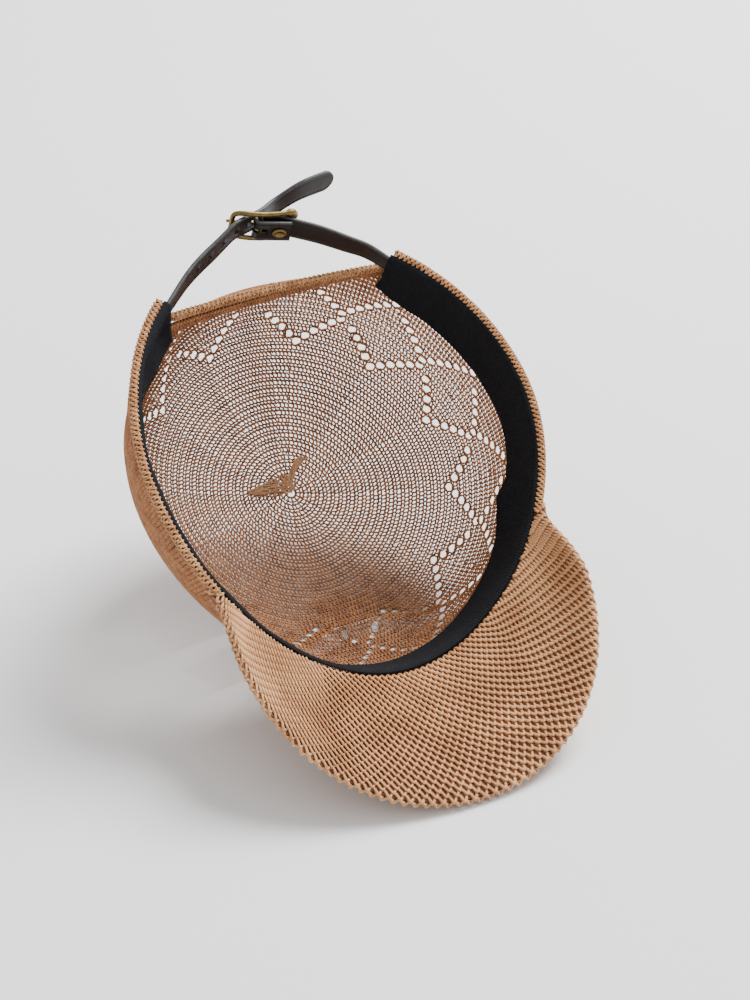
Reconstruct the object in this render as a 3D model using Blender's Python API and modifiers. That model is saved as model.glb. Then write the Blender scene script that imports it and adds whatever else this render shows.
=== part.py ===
"""Knitted peaked cap, lying crown down and tipped forward onto its peak, in metres."""

import math

import bmesh
import bpy
from mathutils import Vector

# Opening of the crown, in the hat's own frame:
# x to one side, y to the peak, z from the opening to the crown's top
RIM_HALF_WIDTH = 0.0850
RIM_BACK_REACH = 0.1000
RIM_FRONT_REACH = 0.0990
RIM_SQUARENESS = 1.92
RIM_FRONT_RISE = 0.0240
RIM_BACK_RISE = 0.0045
RIM_SIDE_DROP = 0.0045

# Crown
CROWN_DEPTH = 0.0980
CROWN_FULLNESS = 2.62
CROWN_BACK_LEAN = 0.0148
CROWN_SIDE_LEAN = 0.0060
CROWN_WALL = 0.0021
RIM_EDGE_WALL = 0.0038
CROWN_COLUMNS = 72

# Gap at the back, closed by the strap
BACK_GAP_ANGLE = 40.0
BACK_HEM_DEPTH = 0.0155
BACK_HEM_REACH = 0.0775
BACK_HEM_BOW = 0.0035
BACK_HEM_SKEW = 0.0020
BACK_FLAT_DEPTH = 0.0620

# Eyelets, in two zigzags round the crown
EYELET_FIRST_ROW = 0.0350
EYELET_PITCH = 0.0060
EYELET_ROWS = 8
EYELET_MARGIN = 0.0014
ZIGZAG_COUNT = 12
ZIGZAG_TURN = 18.0

# Resting place: the floor presses the front of the crown flat and folds it
REST_TILT = 53.2
PRESS_DEPTH = 0.0046
PRESS_SOFTNESS = 0.0014
FOLD_HEIGHT = 0.0045
FOLD_WIDTH = 0.0076

# Peak
PEAK_HALF_WIDTH = 0.0765
PEAK_TIP_REACH = 0.1635
PEAK_SIDE_DROP = 0.0085
PEAK_SHOULDER = 0.0775
PEAK_END_ANGLE = 30.0
PEAK_WRAP = 106.0
PEAK_WALL = 0.0044
PEAK_BOW = 0.0030
PEAK_END_WIDTH = 0.0055

# Sweatband
BAND_WIDTH = 0.0285
BAND_WALL = 0.0010
BAND_CLEARANCE = 0.0005
BAND_INSET = 0.0016

# Straps
STRAP_WIDTH = 0.0102
STRAP_WALL = 0.0018
STRAP_RISE = 0.0064
STRAP_HOLE = 0.0032
STRAP_STEP = 0.0030
STRAP_HOLES = 4
STRAP_STATION = 0.0045

# Where the straps run, as shares of the rim's half width and back reach
LEFT_WAY = ((-0.4294, -0.890), (-0.2824, -0.966))
RIGHT_WAY = ((0.5353, -0.832), (0.4412, -0.888), (0.3176, -0.958))
FREE_END_WAY = ((0.3059, -1.190), (0.5050, -1.222))

# The long strap's way through the buckle
STRAP_DIP = 0.0034
STRAP_CLIMB_START = 0.0050
STRAP_CLIMB = 0.0022
STRAP_CREST = 0.0010
STRAP_CREST_ROOM = 0.0012
STRAP_LEAVE = 0.0085
STRAP_LEAVE_RISE = 0.0135

# Buckle, with its middle bar in the fold of the short strap
BUCKLE_TURN = 13.0
BUCKLE_LEAN = 18.0
BUCKLE_PLACE = (0.0188, -1.049)
BUCKLE_WIRE = 0.0024
BUCKLE_LEFT_REACH = 0.0125
BUCKLE_RIGHT_REACH = 0.0152
BUCKLE_LEFT_RISE = 0.0018
BUCKLE_RIGHT_RISE = 0.0032
BUCKLE_SIDE_ROOM = 0.0008
PRONG_WIRE = 0.0014
PRONG_OVERHANG = 0.0018
TAB_LENGTH = 0.0136
TAB_START = 0.0015
TAB_SPREAD = 0.0085
TAB_WALL = 0.0016
RIVET_RADIUS = 0.0028
RIVET_HEIGHT = 0.0012

# Yarn patch that closes the crown
PATCH_WALL = 0.0010
PATCH_LENGTH = 0.0200
PATCH_WIDTH = 0.0130
PATCH_TAIL = 0.0120
PATCH_LIFT = 0.0006

# Between pieces that touch on the real hat
SEAT_GAP = 0.0003


# Remove what the file starts with
for item in list(bpy.data.objects):
    bpy.data.objects.remove(item, do_unlink=True)

hat = bpy.data.collections.new("knitted_cap")
cutters = bpy.data.collections.new("cutters")
bpy.context.scene.collection.children.link(hat)
bpy.context.scene.collection.children.link(cutters)


def material(name, colour, roughness, metallic=0.0):
    made = bpy.data.materials.new(name)
    made.use_nodes = True
    shader = made.node_tree.nodes["Principled BSDF"]
    shader.inputs["Base Color"].default_value = (*colour, 1.0)
    shader.inputs["Roughness"].default_value = roughness
    shader.inputs["Metallic"].default_value = metallic
    return made


def ease(value):
    value = min(max(value, 0.0), 1.0)
    return value * value * (3.0 - 2.0 * value)


def smooth_max(first, second, softness):
    """The larger of two values, rounded only where they are within the softness of each other."""
    apart = first - second
    if apart > softness:
        return first
    if apart < -softness:
        return second
    return second + (apart + softness) ** 2 / (4.0 * softness)


def powered(value, power):
    return math.copysign(abs(value) ** power, value)


def spread(start, end, count):
    return [start + (end - start) * i / count for i in range(1, count + 1)]


# Shape of the crown


def profile_table(steps=240):
    """Share of the arc from rim to top, with the radius and the depth as shares there."""
    power = 2.0 / CROWN_FULLNESS
    radius = RIM_HALF_WIDTH
    rows = []
    arc = 0.0
    last = None
    for i in range(steps + 1):
        turn = 0.5 * math.pi * i / steps
        reach = max(math.cos(turn), 0.0) ** power
        depth = math.sin(turn) ** power
        here = (radius * reach, CROWN_DEPTH * depth)
        if last:
            arc += math.dist(here, last)
        rows.append((arc, reach, depth))
        last = here
    return rows


PROFILE = profile_table()
CROWN_ARC = PROFILE[-1][0]


def profile_at(arc):
    arc = min(max(arc, 0.0), CROWN_ARC)
    for before, after in zip(PROFILE, PROFILE[1:]):
        if arc <= after[0]:
            share = (arc - before[0]) / (after[0] - before[0])
            reach = before[1] + share * (after[1] - before[1])
            depth = before[2] + share * (after[2] - before[2])
            return reach, depth
    return PROFILE[-1][1:]


def rim_rise(angle):
    turn = math.radians(angle)
    front = max(math.sin(turn), 0.0) ** 2
    back = max(-math.sin(turn), 0.0) ** 2
    side = math.cos(turn) ** 2
    return RIM_FRONT_RISE * front + RIM_BACK_RISE * back - RIM_SIDE_DROP * side


def plan_reach(angle, roundness=0.0):
    """Place on the rim's outline seen along z, which turns round towards the crown's top."""
    turn = math.radians(angle)
    power = 2.0 / RIM_SQUARENESS
    length = RIM_FRONT_REACH if math.sin(turn) > 0 else RIM_BACK_REACH
    mean = (2.0 * RIM_HALF_WIDTH + RIM_FRONT_REACH + RIM_BACK_REACH) / 4.0
    half_width = RIM_HALF_WIDTH + roundness * (mean - RIM_HALF_WIDTH)
    half_length = length + roundness * (mean - length)
    return half_width * powered(math.cos(turn), power), half_length * powered(math.sin(turn), power)


def outward(angle):
    turn = math.radians(angle)
    length = RIM_FRONT_REACH if math.sin(turn) > 0 else RIM_BACK_REACH
    return Vector((math.cos(turn) / RIM_HALF_WIDTH, math.sin(turn) / length, 0.0)).normalized()


def free_crown_point(angle, arc):
    reach, depth = profile_at(arc)
    wide, long = plan_reach(angle, depth)
    x = wide * reach + CROWN_SIDE_LEAN * depth
    y = long * reach - CROWN_BACK_LEAN * depth
    z = CROWN_DEPTH * depth + rim_rise(angle) * (1.0 - depth)
    # The hem across the back is drawn nearly straight, and the wall behind it fills out again
    if y < 0.0:
        gap_half = RIM_HALF_WIDTH * math.cos(math.radians(90.0 - BACK_GAP_ANGLE))
        bow = BACK_HEM_BOW * max(1.0 - (x / gap_half) ** 2, 0.0)
        filled = ease((arc - BACK_HEM_DEPTH) / (BACK_FLAT_DEPTH - BACK_HEM_DEPTH))
        flat = -(BACK_HEM_REACH + bow + filled * (RIM_BACK_REACH + BACK_HEM_BOW - BACK_HEM_REACH))
        flat += BACK_HEM_SKEW * (1.0 - x / gap_half) * ease(arc / BACK_HEM_DEPTH) * (1.0 - filled)
        y = smooth_max(y, flat, BACK_HEM_BOW)
    return Vector((x, y, z))


TILT = math.radians(REST_TILT)
UP = Vector((0.0, -math.cos(TILT), -math.sin(TILT)))
LOWEST = min(
    UP.dot(free_crown_point(angle, CROWN_ARC * share / 60.0)) for angle in range(40, 145, 5) for share in range(10, 60)
)
FLOOR = LOWEST - CROWN_WALL + PRESS_DEPTH


def fold_arc(angle):
    """The fold runs past the pressed part in an arch, nearest the top in the middle."""
    return CROWN_ARC * (0.50 - 0.14 * ((angle - 90.0) / 30.0) ** 2)


def crown_point(angle, arc):
    point = free_crown_point(angle, arc)
    inside = FLOOR + CROWN_WALL
    height = UP.dot(point)
    point = point + UP * (smooth_max(height, inside, PRESS_SOFTNESS) - height)
    across = ease(1.0 - abs(arc - fold_arc(angle)) / FOLD_WIDTH)
    along = ease(1.0 - abs(angle - 90.0) / 42.0)
    return point + UP * (FOLD_HEIGHT * across * along)


# Meshes


def add_object(name, mesh, finish, frame, smooth=True):
    thing = bpy.data.objects.new(name, mesh)
    hat.objects.link(thing)
    thing.parent = frame
    mesh.materials.append(finish)
    if smooth:
        mesh.shade_smooth()
        mesh.set_sharp_from_angle(angle=math.radians(40.0))
    return thing


def grid_mesh(name, rows, closed=False, missing=()):
    """Quads between rows of points; missing holds the (row, column) cells left open."""
    shape = bmesh.new()
    corners = [[shape.verts.new(point) for point in row] for row in rows]
    for r in range(len(rows) - 1):
        columns = len(rows[r]) if closed else len(rows[r]) - 1
        for c in range(columns):
            if (r, c) in missing:
                continue
            d = (c + 1) % len(rows[r])
            shape.faces.new((corners[r][c], corners[r][d], corners[r + 1][d], corners[r + 1][c]))
    loose = [vertex for vertex in shape.verts if not vertex.link_faces]
    bmesh.ops.delete(shape, geom=loose, context="VERTS")
    mesh = bpy.data.meshes.new(name)
    shape.to_mesh(mesh)
    shape.free()
    return mesh


def thicken(thing, wall, side):
    solid = thing.modifiers.new("wall", "SOLIDIFY")
    solid.thickness = wall
    solid.offset = side
    solid.use_even_offset = True
    return solid


def tube(name, points, radius, finish, frame, closed=False, sides=2):
    curve = bpy.data.curves.new(name, "CURVE")
    curve.dimensions = "3D"
    curve.bevel_depth = radius
    curve.bevel_resolution = sides
    curve.use_fill_caps = not closed
    line = curve.splines.new("POLY")
    line.points.add(len(points) - 1)
    for place, point in zip(line.points, points):
        place.co = (*point, 1.0)
    line.use_cyclic_u = closed
    thing = bpy.data.objects.new(name, curve)
    hat.objects.link(thing)
    thing.parent = frame
    curve.materials.append(finish)
    return thing


def as_mesh(thing):
    """Turns a tube into a mesh with its caps welded."""
    graph = bpy.context.evaluated_depsgraph_get()
    mesh = bpy.data.meshes.new_from_object(thing.evaluated_get(graph))
    shape = bmesh.new()
    shape.from_mesh(mesh)
    bmesh.ops.remove_doubles(shape, verts=shape.verts, dist=0.00001)
    bmesh.ops.recalc_face_normals(shape, faces=shape.faces)
    shape.to_mesh(mesh)
    shape.free()
    name = thing.name
    parent = thing.parent
    bpy.data.objects.remove(thing, do_unlink=True)
    made = bpy.data.objects.new(name, mesh)
    hat.objects.link(made)
    made.parent = parent
    mesh.shade_smooth()
    return made


# Crown


def crown_rows():
    rows = [0.0, 0.5 * BACK_HEM_DEPTH, BACK_HEM_DEPTH]
    rows += spread(BACK_HEM_DEPTH, EYELET_FIRST_ROW, 2)
    rows += [EYELET_FIRST_ROW + EYELET_PITCH * i for i in range(1, EYELET_ROWS + 1)]
    rows += spread(rows[-1], CROWN_ARC * 0.93, 6)
    return rows


def eyelet_cells(first_row):
    """Cells of both zigzags: the inner one turns at every column, the outer one opens from its turns."""
    columns = CROWN_COLUMNS // ZIGZAG_COUNT
    half = columns // 2
    turn = round((ZIGZAG_TURN + 90.0) / 360.0 * CROWN_COLUMNS - 0.5)
    cells = []
    for column in range(CROWN_COLUMNS):
        step = (column - turn) % columns
        from_outer = half - min(step, columns - step)
        inner_row = first_row + EYELET_ROWS - 1 - (half - from_outer)
        cells.append((inner_row, column))
        outer = {0: 3, 1: 2, 2: 1, columns - 1: 2}
        shift = (step - half) % columns
        if shift in outer:
            cells.append((first_row + outer[shift], column))
    return cells


def make_crown(finish, frame):
    rows = crown_rows()
    first_eyelet_row = 4
    angles = [-90.0 + 360.0 * c / CROWN_COLUMNS for c in range(CROWN_COLUMNS)]
    grid = []
    for r, arc in enumerate(rows):
        line = []
        for angle in angles:
            over_peak = abs(angle - 90.0) < 90.0 - PEAK_END_ANGLE + 360.0 / CROWN_COLUMNS + 0.1
            start = PEAK_WALL + 2.0 * SEAT_GAP if over_peak and r == 0 else arc
            line.append(crown_point(angle, start))
        grid.append(line)
    half_gap = round(BACK_GAP_ANGLE / 360.0 * CROWN_COLUMNS)
    missing = {(r, c % CROWN_COLUMNS) for r in (0, 1) for c in range(-half_gap, half_gap)}
    mesh = grid_mesh("crown", grid, closed=True, missing=missing)
    shape = bmesh.new()
    shape.from_mesh(mesh)
    shape.faces.ensure_lookup_table()
    # Close the top with a fan
    top = shape.verts.new(crown_point(-90.0, CROWN_ARC))
    last = [vertex.index for vertex in mesh.vertices][-CROWN_COLUMNS:]
    shape.verts.ensure_lookup_table()
    for c, index in enumerate(last):
        after = last[(c + 1) % CROWN_COLUMNS]
        shape.faces.new((shape.verts[index], shape.verts[after], top))
    # Eyelets: each is a cell with its middle taken out
    centres = []
    for row, column in eyelet_cells(first_eyelet_row):
        d = (column + 1) % CROWN_COLUMNS
        centres.append((grid[row][column] + grid[row][d] + grid[row + 1][d] + grid[row + 1][column]) / 4.0)
    cells = []
    for centre in centres:
        cells.append(min(shape.faces, key=lambda face: (face.calc_center_median() - centre).length))
    bmesh.ops.inset_individual(shape, faces=cells, thickness=EYELET_MARGIN, use_even_offset=True)
    bmesh.ops.delete(shape, geom=cells, context="FACES")
    shape.to_mesh(mesh)
    shape.free()
    crown = add_object("crown", mesh, finish, frame)
    # The knitted edge is rolled, so it is thicker than the wall
    group = crown.vertex_groups.new(name="edge")
    solid = thicken(crown, RIM_EDGE_WALL, 1.0)
    solid.vertex_group = "edge"
    solid.thickness_vertex_group = CROWN_WALL / RIM_EDGE_WALL
    edge_points = [grid[0][c] for c in range(CROWN_COLUMNS)]
    edge_points += [grid[r][c % CROWN_COLUMNS] for r in (0, 1, 2) for c in (-half_gap, half_gap)]
    edge_points += [grid[2][c % CROWN_COLUMNS] for c in range(-half_gap, half_gap + 1)]
    for vertex in mesh.vertices:
        nearest = min((vertex.co - point).length for point in edge_points)
        if nearest < 0.0001:
            group.add([vertex.index], 1.0, "REPLACE")
    return crown


# Peak


def peak_edge(share, tip_rise):
    """Outer edge of the peak, from -1 at one end to 1 at the other."""
    turn = math.radians(PEAK_WRAP * share)
    bend = powered(math.cos(turn), 0.9)
    droop = math.sin(turn) ** 2
    edge = Vector(
        (
            PEAK_HALF_WIDTH * math.sin(turn),
            PEAK_SHOULDER + (PEAK_TIP_REACH - PEAK_SHOULDER) * bend,
            tip_rise - (tip_rise + PEAK_SIDE_DROP) * droop,
        )
    )
    angle = 90.0 - (90.0 - PEAK_END_ANGLE) * share
    end = Vector((*plan_reach(angle), rim_rise(angle))) + outward(angle) * PEAK_END_WIDTH
    return edge.lerp(end, ease((abs(share) - 0.8) / 0.2))


def peak_rows(tip_rise, columns=30, steps=7):
    rows = []
    for r in range(steps + 1):
        across = r / steps
        line = []
        for c in range(columns + 1):
            share = 1.0 - 2.0 * c / columns
            angle = 90.0 - (90.0 - PEAK_END_ANGLE) * share
            inner = Vector((*plan_reach(angle), rim_rise(angle)))
            point = inner.lerp(peak_edge(share, tip_rise), across)
            point.z += PEAK_BOW * math.sin(math.pi * across) ** 2 * (1.0 - share * share)
            line.append(point)
        rows.append(line)
    return rows


def lowest_of_peak(rows):
    """Height of the outer face's lowest corner on the edge that meets the floor."""
    heights = []
    for c in range(1, len(rows[-1]) - 1):
        along = rows[-1][c + 1] - rows[-1][c - 1]
        across = rows[-1][c] - rows[-2][c]
        heights.append(UP.dot(rows[-1][c] - along.cross(across).normalized() * PEAK_WALL))
    return min(heights)


def make_peak(finish, frame):
    # The tip bends until it just meets the floor
    tip_rise = 0.0
    for _ in range(8):
        tip_rise += (lowest_of_peak(peak_rows(tip_rise)) - FLOOR) / math.sin(TILT)
    peak = add_object("peak", grid_mesh("peak", peak_rows(tip_rise)), finish, frame)
    thicken(peak, PEAK_WALL, -1.0)
    return peak


# Sweatband


def band_clearance(angle, arc):
    """Room outside the band, wider at its two ends, where the straps are sewn in behind it."""
    from_gap = min((angle + 90.0) % 360.0, (-90.0 - angle) % 360.0) - BACK_GAP_ANGLE
    strap_room = STRAP_WALL + 3.0 * SEAT_GAP
    behind = strap_room * (1.0 - ease((from_gap - 9.0) / 8.0))
    return BAND_CLEARANCE + BAND_INSET * arc / BAND_WIDTH + behind


def make_band(finish, frame):
    step = 360.0 / CROWN_COLUMNS
    count = round((360.0 - 2.0 * BACK_GAP_ANGLE) / step)
    angles = [-90.0 + BACK_GAP_ANGLE + step * i for i in range(count + 1)]
    rows = []
    for arc in (0.0, 0.5 * BAND_WIDTH, BAND_WIDTH):
        line = []
        for angle in angles:
            place = crown_point(angle, arc) if arc > BACK_HEM_DEPTH else free_crown_point(angle, arc)
            line.append(place - outward(angle) * band_clearance(angle, arc))
        rows.append(line)
    band = add_object("sweatband", grid_mesh("sweatband", rows), finish, frame)
    thicken(band, BAND_WALL, -1.0)
    return band


# Straps


def buckle_axes():
    """Along the buckle, out from the head and across the strap's width."""
    turn = math.radians(BUCKLE_TURN)
    lean = math.radians(BUCKLE_LEAN)
    along = Vector((math.cos(turn), math.sin(turn), 0.0))
    inward = Vector((-math.sin(turn), math.cos(turn), 0.0))
    across = Vector((0.0, 0.0, 1.0)) * math.cos(lean) + inward * math.sin(lean)
    out = Vector((0.0, 0.0, 1.0)) * math.sin(lean) - inward * math.cos(lean)
    return along, out, across


ALONG, OUT, ACROSS = buckle_axes()


def behind_rim(share):
    return Vector((share[0] * RIM_HALF_WIDTH, share[1] * RIM_BACK_REACH, STRAP_RISE))


BUCKLE_CENTRE = behind_rim(BUCKLE_PLACE)


def at_buckle(along, out, across=0.0):
    return BUCKLE_CENTRE + ALONG * along + OUT * out + ACROSS * across


def strap_mesh(name, path, holes):
    """A strip of four rows along (place, across) pairs; its middle row is open at the holes."""
    half = 0.5 * STRAP_WIDTH
    hole_half = 0.5 * STRAP_HOLE
    rows = []
    for height in (-half, -hole_half, hole_half, half):
        rows.append([place + across.normalized() * height for place, across in path])
    missing = {(1, c) for c in holes}
    return grid_mesh(name, rows, missing=missing)


def sewn_end(side):
    """The strap's end, which lies along the wall between the crown and the band."""
    points = []
    for extra in (9.0, 4.5, 0.0):
        angle = -90.0 + side * (BACK_GAP_ANGLE + extra)
        low = free_crown_point(angle, 0.0)
        high = free_crown_point(angle, BACK_HEM_DEPTH)
        place = low.lerp(high, STRAP_RISE / BACK_HEM_DEPTH) - outward(angle) * (SEAT_GAP + 0.6 * STRAP_WALL)
        points.append((place, (high - low).normalized()))
    return points


def through(points, t):
    """A smooth curve's place between the second and third of four points."""
    before, start, end, after = points
    curve = 2.0 * start + (end - before) * t
    curve += (2.0 * before - 5.0 * start + 4.0 * end - after) * t * t
    curve += (3.0 * start - before - 3.0 * end + after) * t**3
    return 0.5 * curve


def curve_through(guide):
    """Close stations on a smooth curve through (place, across) pairs, with the length walked to each."""
    stations = []
    for i in range(len(guide) - 1):
        around = (guide[max(i - 1, 0)], guide[i], guide[i + 1], guide[min(i + 2, len(guide) - 1)])
        places = [place for place, _ in around]
        acrosses = [across for _, across in around]
        stations += [(through(places, step / 16.0), through(acrosses, step / 16.0)) for step in range(16)]
    stations.append(guide[-1])
    lengths = [0.0]
    for (a, _), (b, _) in zip(stations, stations[1:]):
        lengths.append(lengths[-1] + (b - a).length)
    return stations, lengths


def along_curve(stations, lengths, distance):
    for i in range(1, len(stations)):
        if distance <= lengths[i] or i == len(stations) - 1:
            share = (distance - lengths[i - 1]) / (lengths[i] - lengths[i - 1])
            share = min(max(share, 0.0), 1.0)
            place = stations[i - 1][0].lerp(stations[i][0], share)
            return place, stations[i - 1][1].lerp(stations[i][1], share)


def leaning(share):
    """The strap's across direction, from upright at 0 to the buckle's at 1."""
    return Vector((0.0, 0.0, 1.0)).lerp(ACROSS, share)


def prong_line():
    """Where the prong's pin starts, above the middle bar's eye, and where it rests on the frame."""
    eye = 0.5 * BUCKLE_WIRE + SEAT_GAP + 0.5 * PRONG_WIRE
    rest = BUCKLE_LEFT_RISE + 0.5 * BUCKLE_WIRE + SEAT_GAP + 0.5 * PRONG_WIRE
    return eye, rest


def make_long_strap(finish, frame):
    """Inside the frame's left end, out over the middle bar's fold, and free beyond it."""
    fold = 0.5 * BUCKLE_WIRE + SEAT_GAP + TAB_WALL
    guide = sewn_end(-1.0)
    guide += [(behind_rim(share), leaning(lean)) for share, lean in zip(LEFT_WAY, (0.1, 0.6))]
    guide.append((at_buckle(-BUCKLE_LEFT_REACH, -STRAP_DIP), ACROSS))
    guide.append((at_buckle(-STRAP_CLIMB_START, STRAP_CLIMB), ACROSS))
    guide.append((at_buckle(STRAP_CREST, fold + SEAT_GAP + STRAP_WALL + STRAP_CREST_ROOM), ACROSS))
    guide.append((at_buckle(STRAP_LEAVE, STRAP_LEAVE_RISE), leaning(1.1)))
    guide += [(behind_rim(share), leaning(lean)) for share, lean in zip(FREE_END_WAY, (1.3, 1.4))]
    stations, lengths = curve_through(guide)
    # The pin's crossing fixes where the holes fall
    eye, rest = prong_line()
    crossing = 0.0
    for (place, _), length in zip(stations, lengths):
        local = place - BUCKLE_CENTRE
        pin = eye + (rest - eye) * min(max(-local.dot(ALONG) / BUCKLE_LEFT_REACH, 0.0), 1.0)
        if local.dot(OUT) < pin:
            crossing = length
        else:
            break
    steps_before = int(crossing / STRAP_STEP - 0.3)
    steps_after = int((lengths[-1] - crossing) / STRAP_STEP - 0.3)
    cuts = [0.0]
    cuts += [crossing + STRAP_STEP * i for i in range(-steps_before, steps_after + 1)]
    cuts.append(lengths[-1])
    path = [along_curve(stations, lengths, cut) for cut in cuts]
    pin_cell = steps_before
    holes = [pin_cell, pin_cell + 1]
    holes += [pin_cell - 3 * i for i in range(1, STRAP_HOLES + 1)]
    mesh = strap_mesh("strap_long", path, holes)
    # The free end is rounded
    tip = path[-1][0]
    before = path[-2][0]
    for vertex in mesh.vertices:
        if (vertex.co - tip).length < 0.55 * STRAP_WIDTH and (vertex.co - tip).length > 0.4 * STRAP_WIDTH:
            vertex.co = vertex.co.lerp(tip, 0.35) + (before - tip) * 0.9
    strap = add_object("strap_long", mesh, finish, frame)
    thicken(strap, STRAP_WALL, 0.0)
    return strap


def make_short_strap(finish, frame):
    """Runs to the middle bar, goes round it and comes back inside as the riveted tab."""
    leg = 0.5 * BUCKLE_WIRE + SEAT_GAP + 0.5 * TAB_WALL
    guide = sewn_end(1.0)
    guide += [(behind_rim(share), leaning(lean)) for share, lean in zip(RIGHT_WAY, (0.1, 0.5, 0.9))]
    guide.append((at_buckle(BUCKLE_RIGHT_REACH, 0.0), ACROSS))
    guide.append((at_buckle(TAB_SPREAD, leg), ACROSS))
    guide.append((at_buckle(TAB_START, leg), ACROSS))
    stations, lengths = curve_through(guide)
    count = round(lengths[-1] / STRAP_STATION)
    path = [along_curve(stations, lengths, lengths[-1] * i / count) for i in range(count + 1)]
    first_turn = len(path)
    for degrees in range(80, -90, -32):
        turn = math.radians(degrees)
        path.append((at_buckle(-leg * math.cos(turn), leg * math.sin(turn)), ACROSS))
    last_turn = len(path) - 1
    path += [(at_buckle(TAB_START + (TAB_LENGTH - TAB_START) * i / 3.0, -leg), ACROSS) for i in range(4)]
    mesh = strap_mesh("strap_short", path, range(first_turn - 1, last_turn + 1))
    strap = add_object("strap_short", mesh, finish, frame)
    thicken(strap, TAB_WALL, 0.0)
    return leg


# Buckle


def make_buckle(finish, frame):
    half_height = 0.5 * STRAP_WIDTH + BUCKLE_SIDE_ROOM + 0.5 * BUCKLE_WIRE
    middle = 0.5 * (BUCKLE_RIGHT_REACH - BUCKLE_LEFT_REACH)
    half_length = 0.5 * (BUCKLE_RIGHT_REACH + BUCKLE_LEFT_REACH)
    points = []
    for i in range(32):
        turn = 2.0 * math.pi * i / 32
        along = middle + half_length * powered(math.cos(turn), 0.36)
        across = half_height * powered(math.sin(turn), 0.36)
        if along < 0.0:
            out = BUCKLE_LEFT_RISE * (along / BUCKLE_LEFT_REACH) ** 2
        else:
            out = BUCKLE_RIGHT_RISE * (along / BUCKLE_RIGHT_REACH) ** 2
        points.append(at_buckle(along, out, across))
    ring = as_mesh(tube("buckle_frame", points, 0.5 * BUCKLE_WIRE, finish, frame, closed=True))
    bar_ends = [at_buckle(0.0, 0.0, -half_height), at_buckle(0.0, 0.0, half_height)]
    bar = as_mesh(tube("buckle_bar", bar_ends, 0.42 * BUCKLE_WIRE, finish, frame))
    hat.objects.unlink(bar)
    cutters.objects.link(bar)
    bar.hide_render = True
    bar.display_type = "WIRE"
    join = ring.modifiers.new("middle bar", "BOOLEAN")
    join.operation = "UNION"
    join.solver = "EXACT"
    join.object = bar
    return ring


def make_prong(finish, frame):
    """An eye round the middle bar, and a pin through the strap onto the left end of the frame."""
    eye, rest = prong_line()
    points = []
    for degrees in range(-70, 91, 20):
        turn = math.radians(degrees)
        points.append(at_buckle(-eye * math.cos(turn), eye * math.sin(turn)))
    points.append(at_buckle(-BUCKLE_LEFT_REACH, rest))
    points.append(at_buckle(-BUCKLE_LEFT_REACH - PRONG_OVERHANG, rest))
    return as_mesh(tube("buckle_prong", points, 0.5 * PRONG_WIRE, finish, frame, sides=1))


def make_rivet(finish, frame, leg):
    bpy.ops.mesh.primitive_cylinder_add(vertices=16, radius=RIVET_RADIUS, depth=RIVET_HEIGHT)
    rivet = bpy.context.active_object
    for collection in list(rivet.users_collection):
        collection.objects.unlink(rivet)
    hat.objects.link(rivet)
    rivet.name = "tab_rivet"
    rivet.data.name = "tab_rivet"
    rivet.data.materials.append(finish)
    rivet.parent = frame
    rivet.location = at_buckle(0.6 * TAB_LENGTH, -(leg + 0.5 * TAB_WALL + SEAT_GAP + 0.5 * RIVET_HEIGHT))
    rivet.rotation_euler = (-OUT).to_track_quat("Z", "Y").to_euler()
    soften = rivet.modifiers.new("dome", "BEVEL")
    soften.width = 0.4 * RIVET_HEIGHT
    soften.segments = 2
    rivet.data.shade_smooth()
    return rivet


# Closing patch at the crown's top


def make_patch(finish, frame):
    """A gathered fan of yarn with a short tail, just inside the crown's top."""
    outline = []
    for i in range(20):
        turn = 2.0 * math.pi * i / 20
        along = 0.5 * PATCH_LENGTH * math.cos(turn)
        taper = 0.45 + 0.55 * (0.5 + 0.5 * math.cos(turn - math.pi))
        across = 0.5 * PATCH_WIDTH * math.sin(turn) * taper
        outline.append((along, across))
    rows = []
    lift = PATCH_WALL + SEAT_GAP
    for share in (1.0, 0.5):
        line = []
        for along, across in outline:
            stretch = 1.0 + (PATCH_TAIL / PATCH_LENGTH) * max(along / (0.5 * PATCH_LENGTH) - 0.85, 0.0)
            x = CROWN_SIDE_LEAN + share * (along * stretch * 0.8 - across * 0.6)
            y = -CROWN_BACK_LEAN + share * (along * stretch * 0.6 + across * 0.8)
            line.append(Vector((x, y, CROWN_DEPTH - lift - PATCH_LIFT)))
        rows.append(line)
    mesh = grid_mesh("closing_patch", rows, closed=True)
    shape = bmesh.new()
    shape.from_mesh(mesh)
    shape.verts.ensure_lookup_table()
    shape.faces.new([shape.verts[20 + i] for i in range(20)])
    bmesh.ops.recalc_face_normals(shape, faces=shape.faces)
    shape.to_mesh(mesh)
    shape.free()
    patch = add_object("closing_patch", mesh, finish, frame)
    thicken(patch, PATCH_WALL, 1.0)
    return patch


yarn = material("paper_yarn", (0.58, 0.33, 0.18), 0.75)
peak_yarn = material("peak_yarn", (0.62, 0.37, 0.21), 0.75)
ribbon = material("black_ribbon", (0.012, 0.013, 0.015), 0.8)
leather = material("dark_leather", (0.035, 0.028, 0.025), 0.5)
brass = material("old_brass", (0.16, 0.12, 0.05), 0.4, 1.0)
patch_yarn = material("patch_yarn", (0.45, 0.27, 0.12), 0.8)

# The hat stands in its resting place under one empty
rest = bpy.data.objects.new("rest_frame", None)
hat.objects.link(rest)
rest.rotation_euler = (-(0.5 * math.pi + TILT), 0.0, 0.0)

make_crown(yarn, rest)
make_peak(peak_yarn, rest)
make_band(ribbon, rest)
make_long_strap(leather, rest)
tab_leg = make_short_strap(leather, rest)
make_buckle(brass, rest)
make_prong(brass, rest)
make_rivet(brass, rest, tab_leg)
make_patch(patch_yarn, rest)

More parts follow.
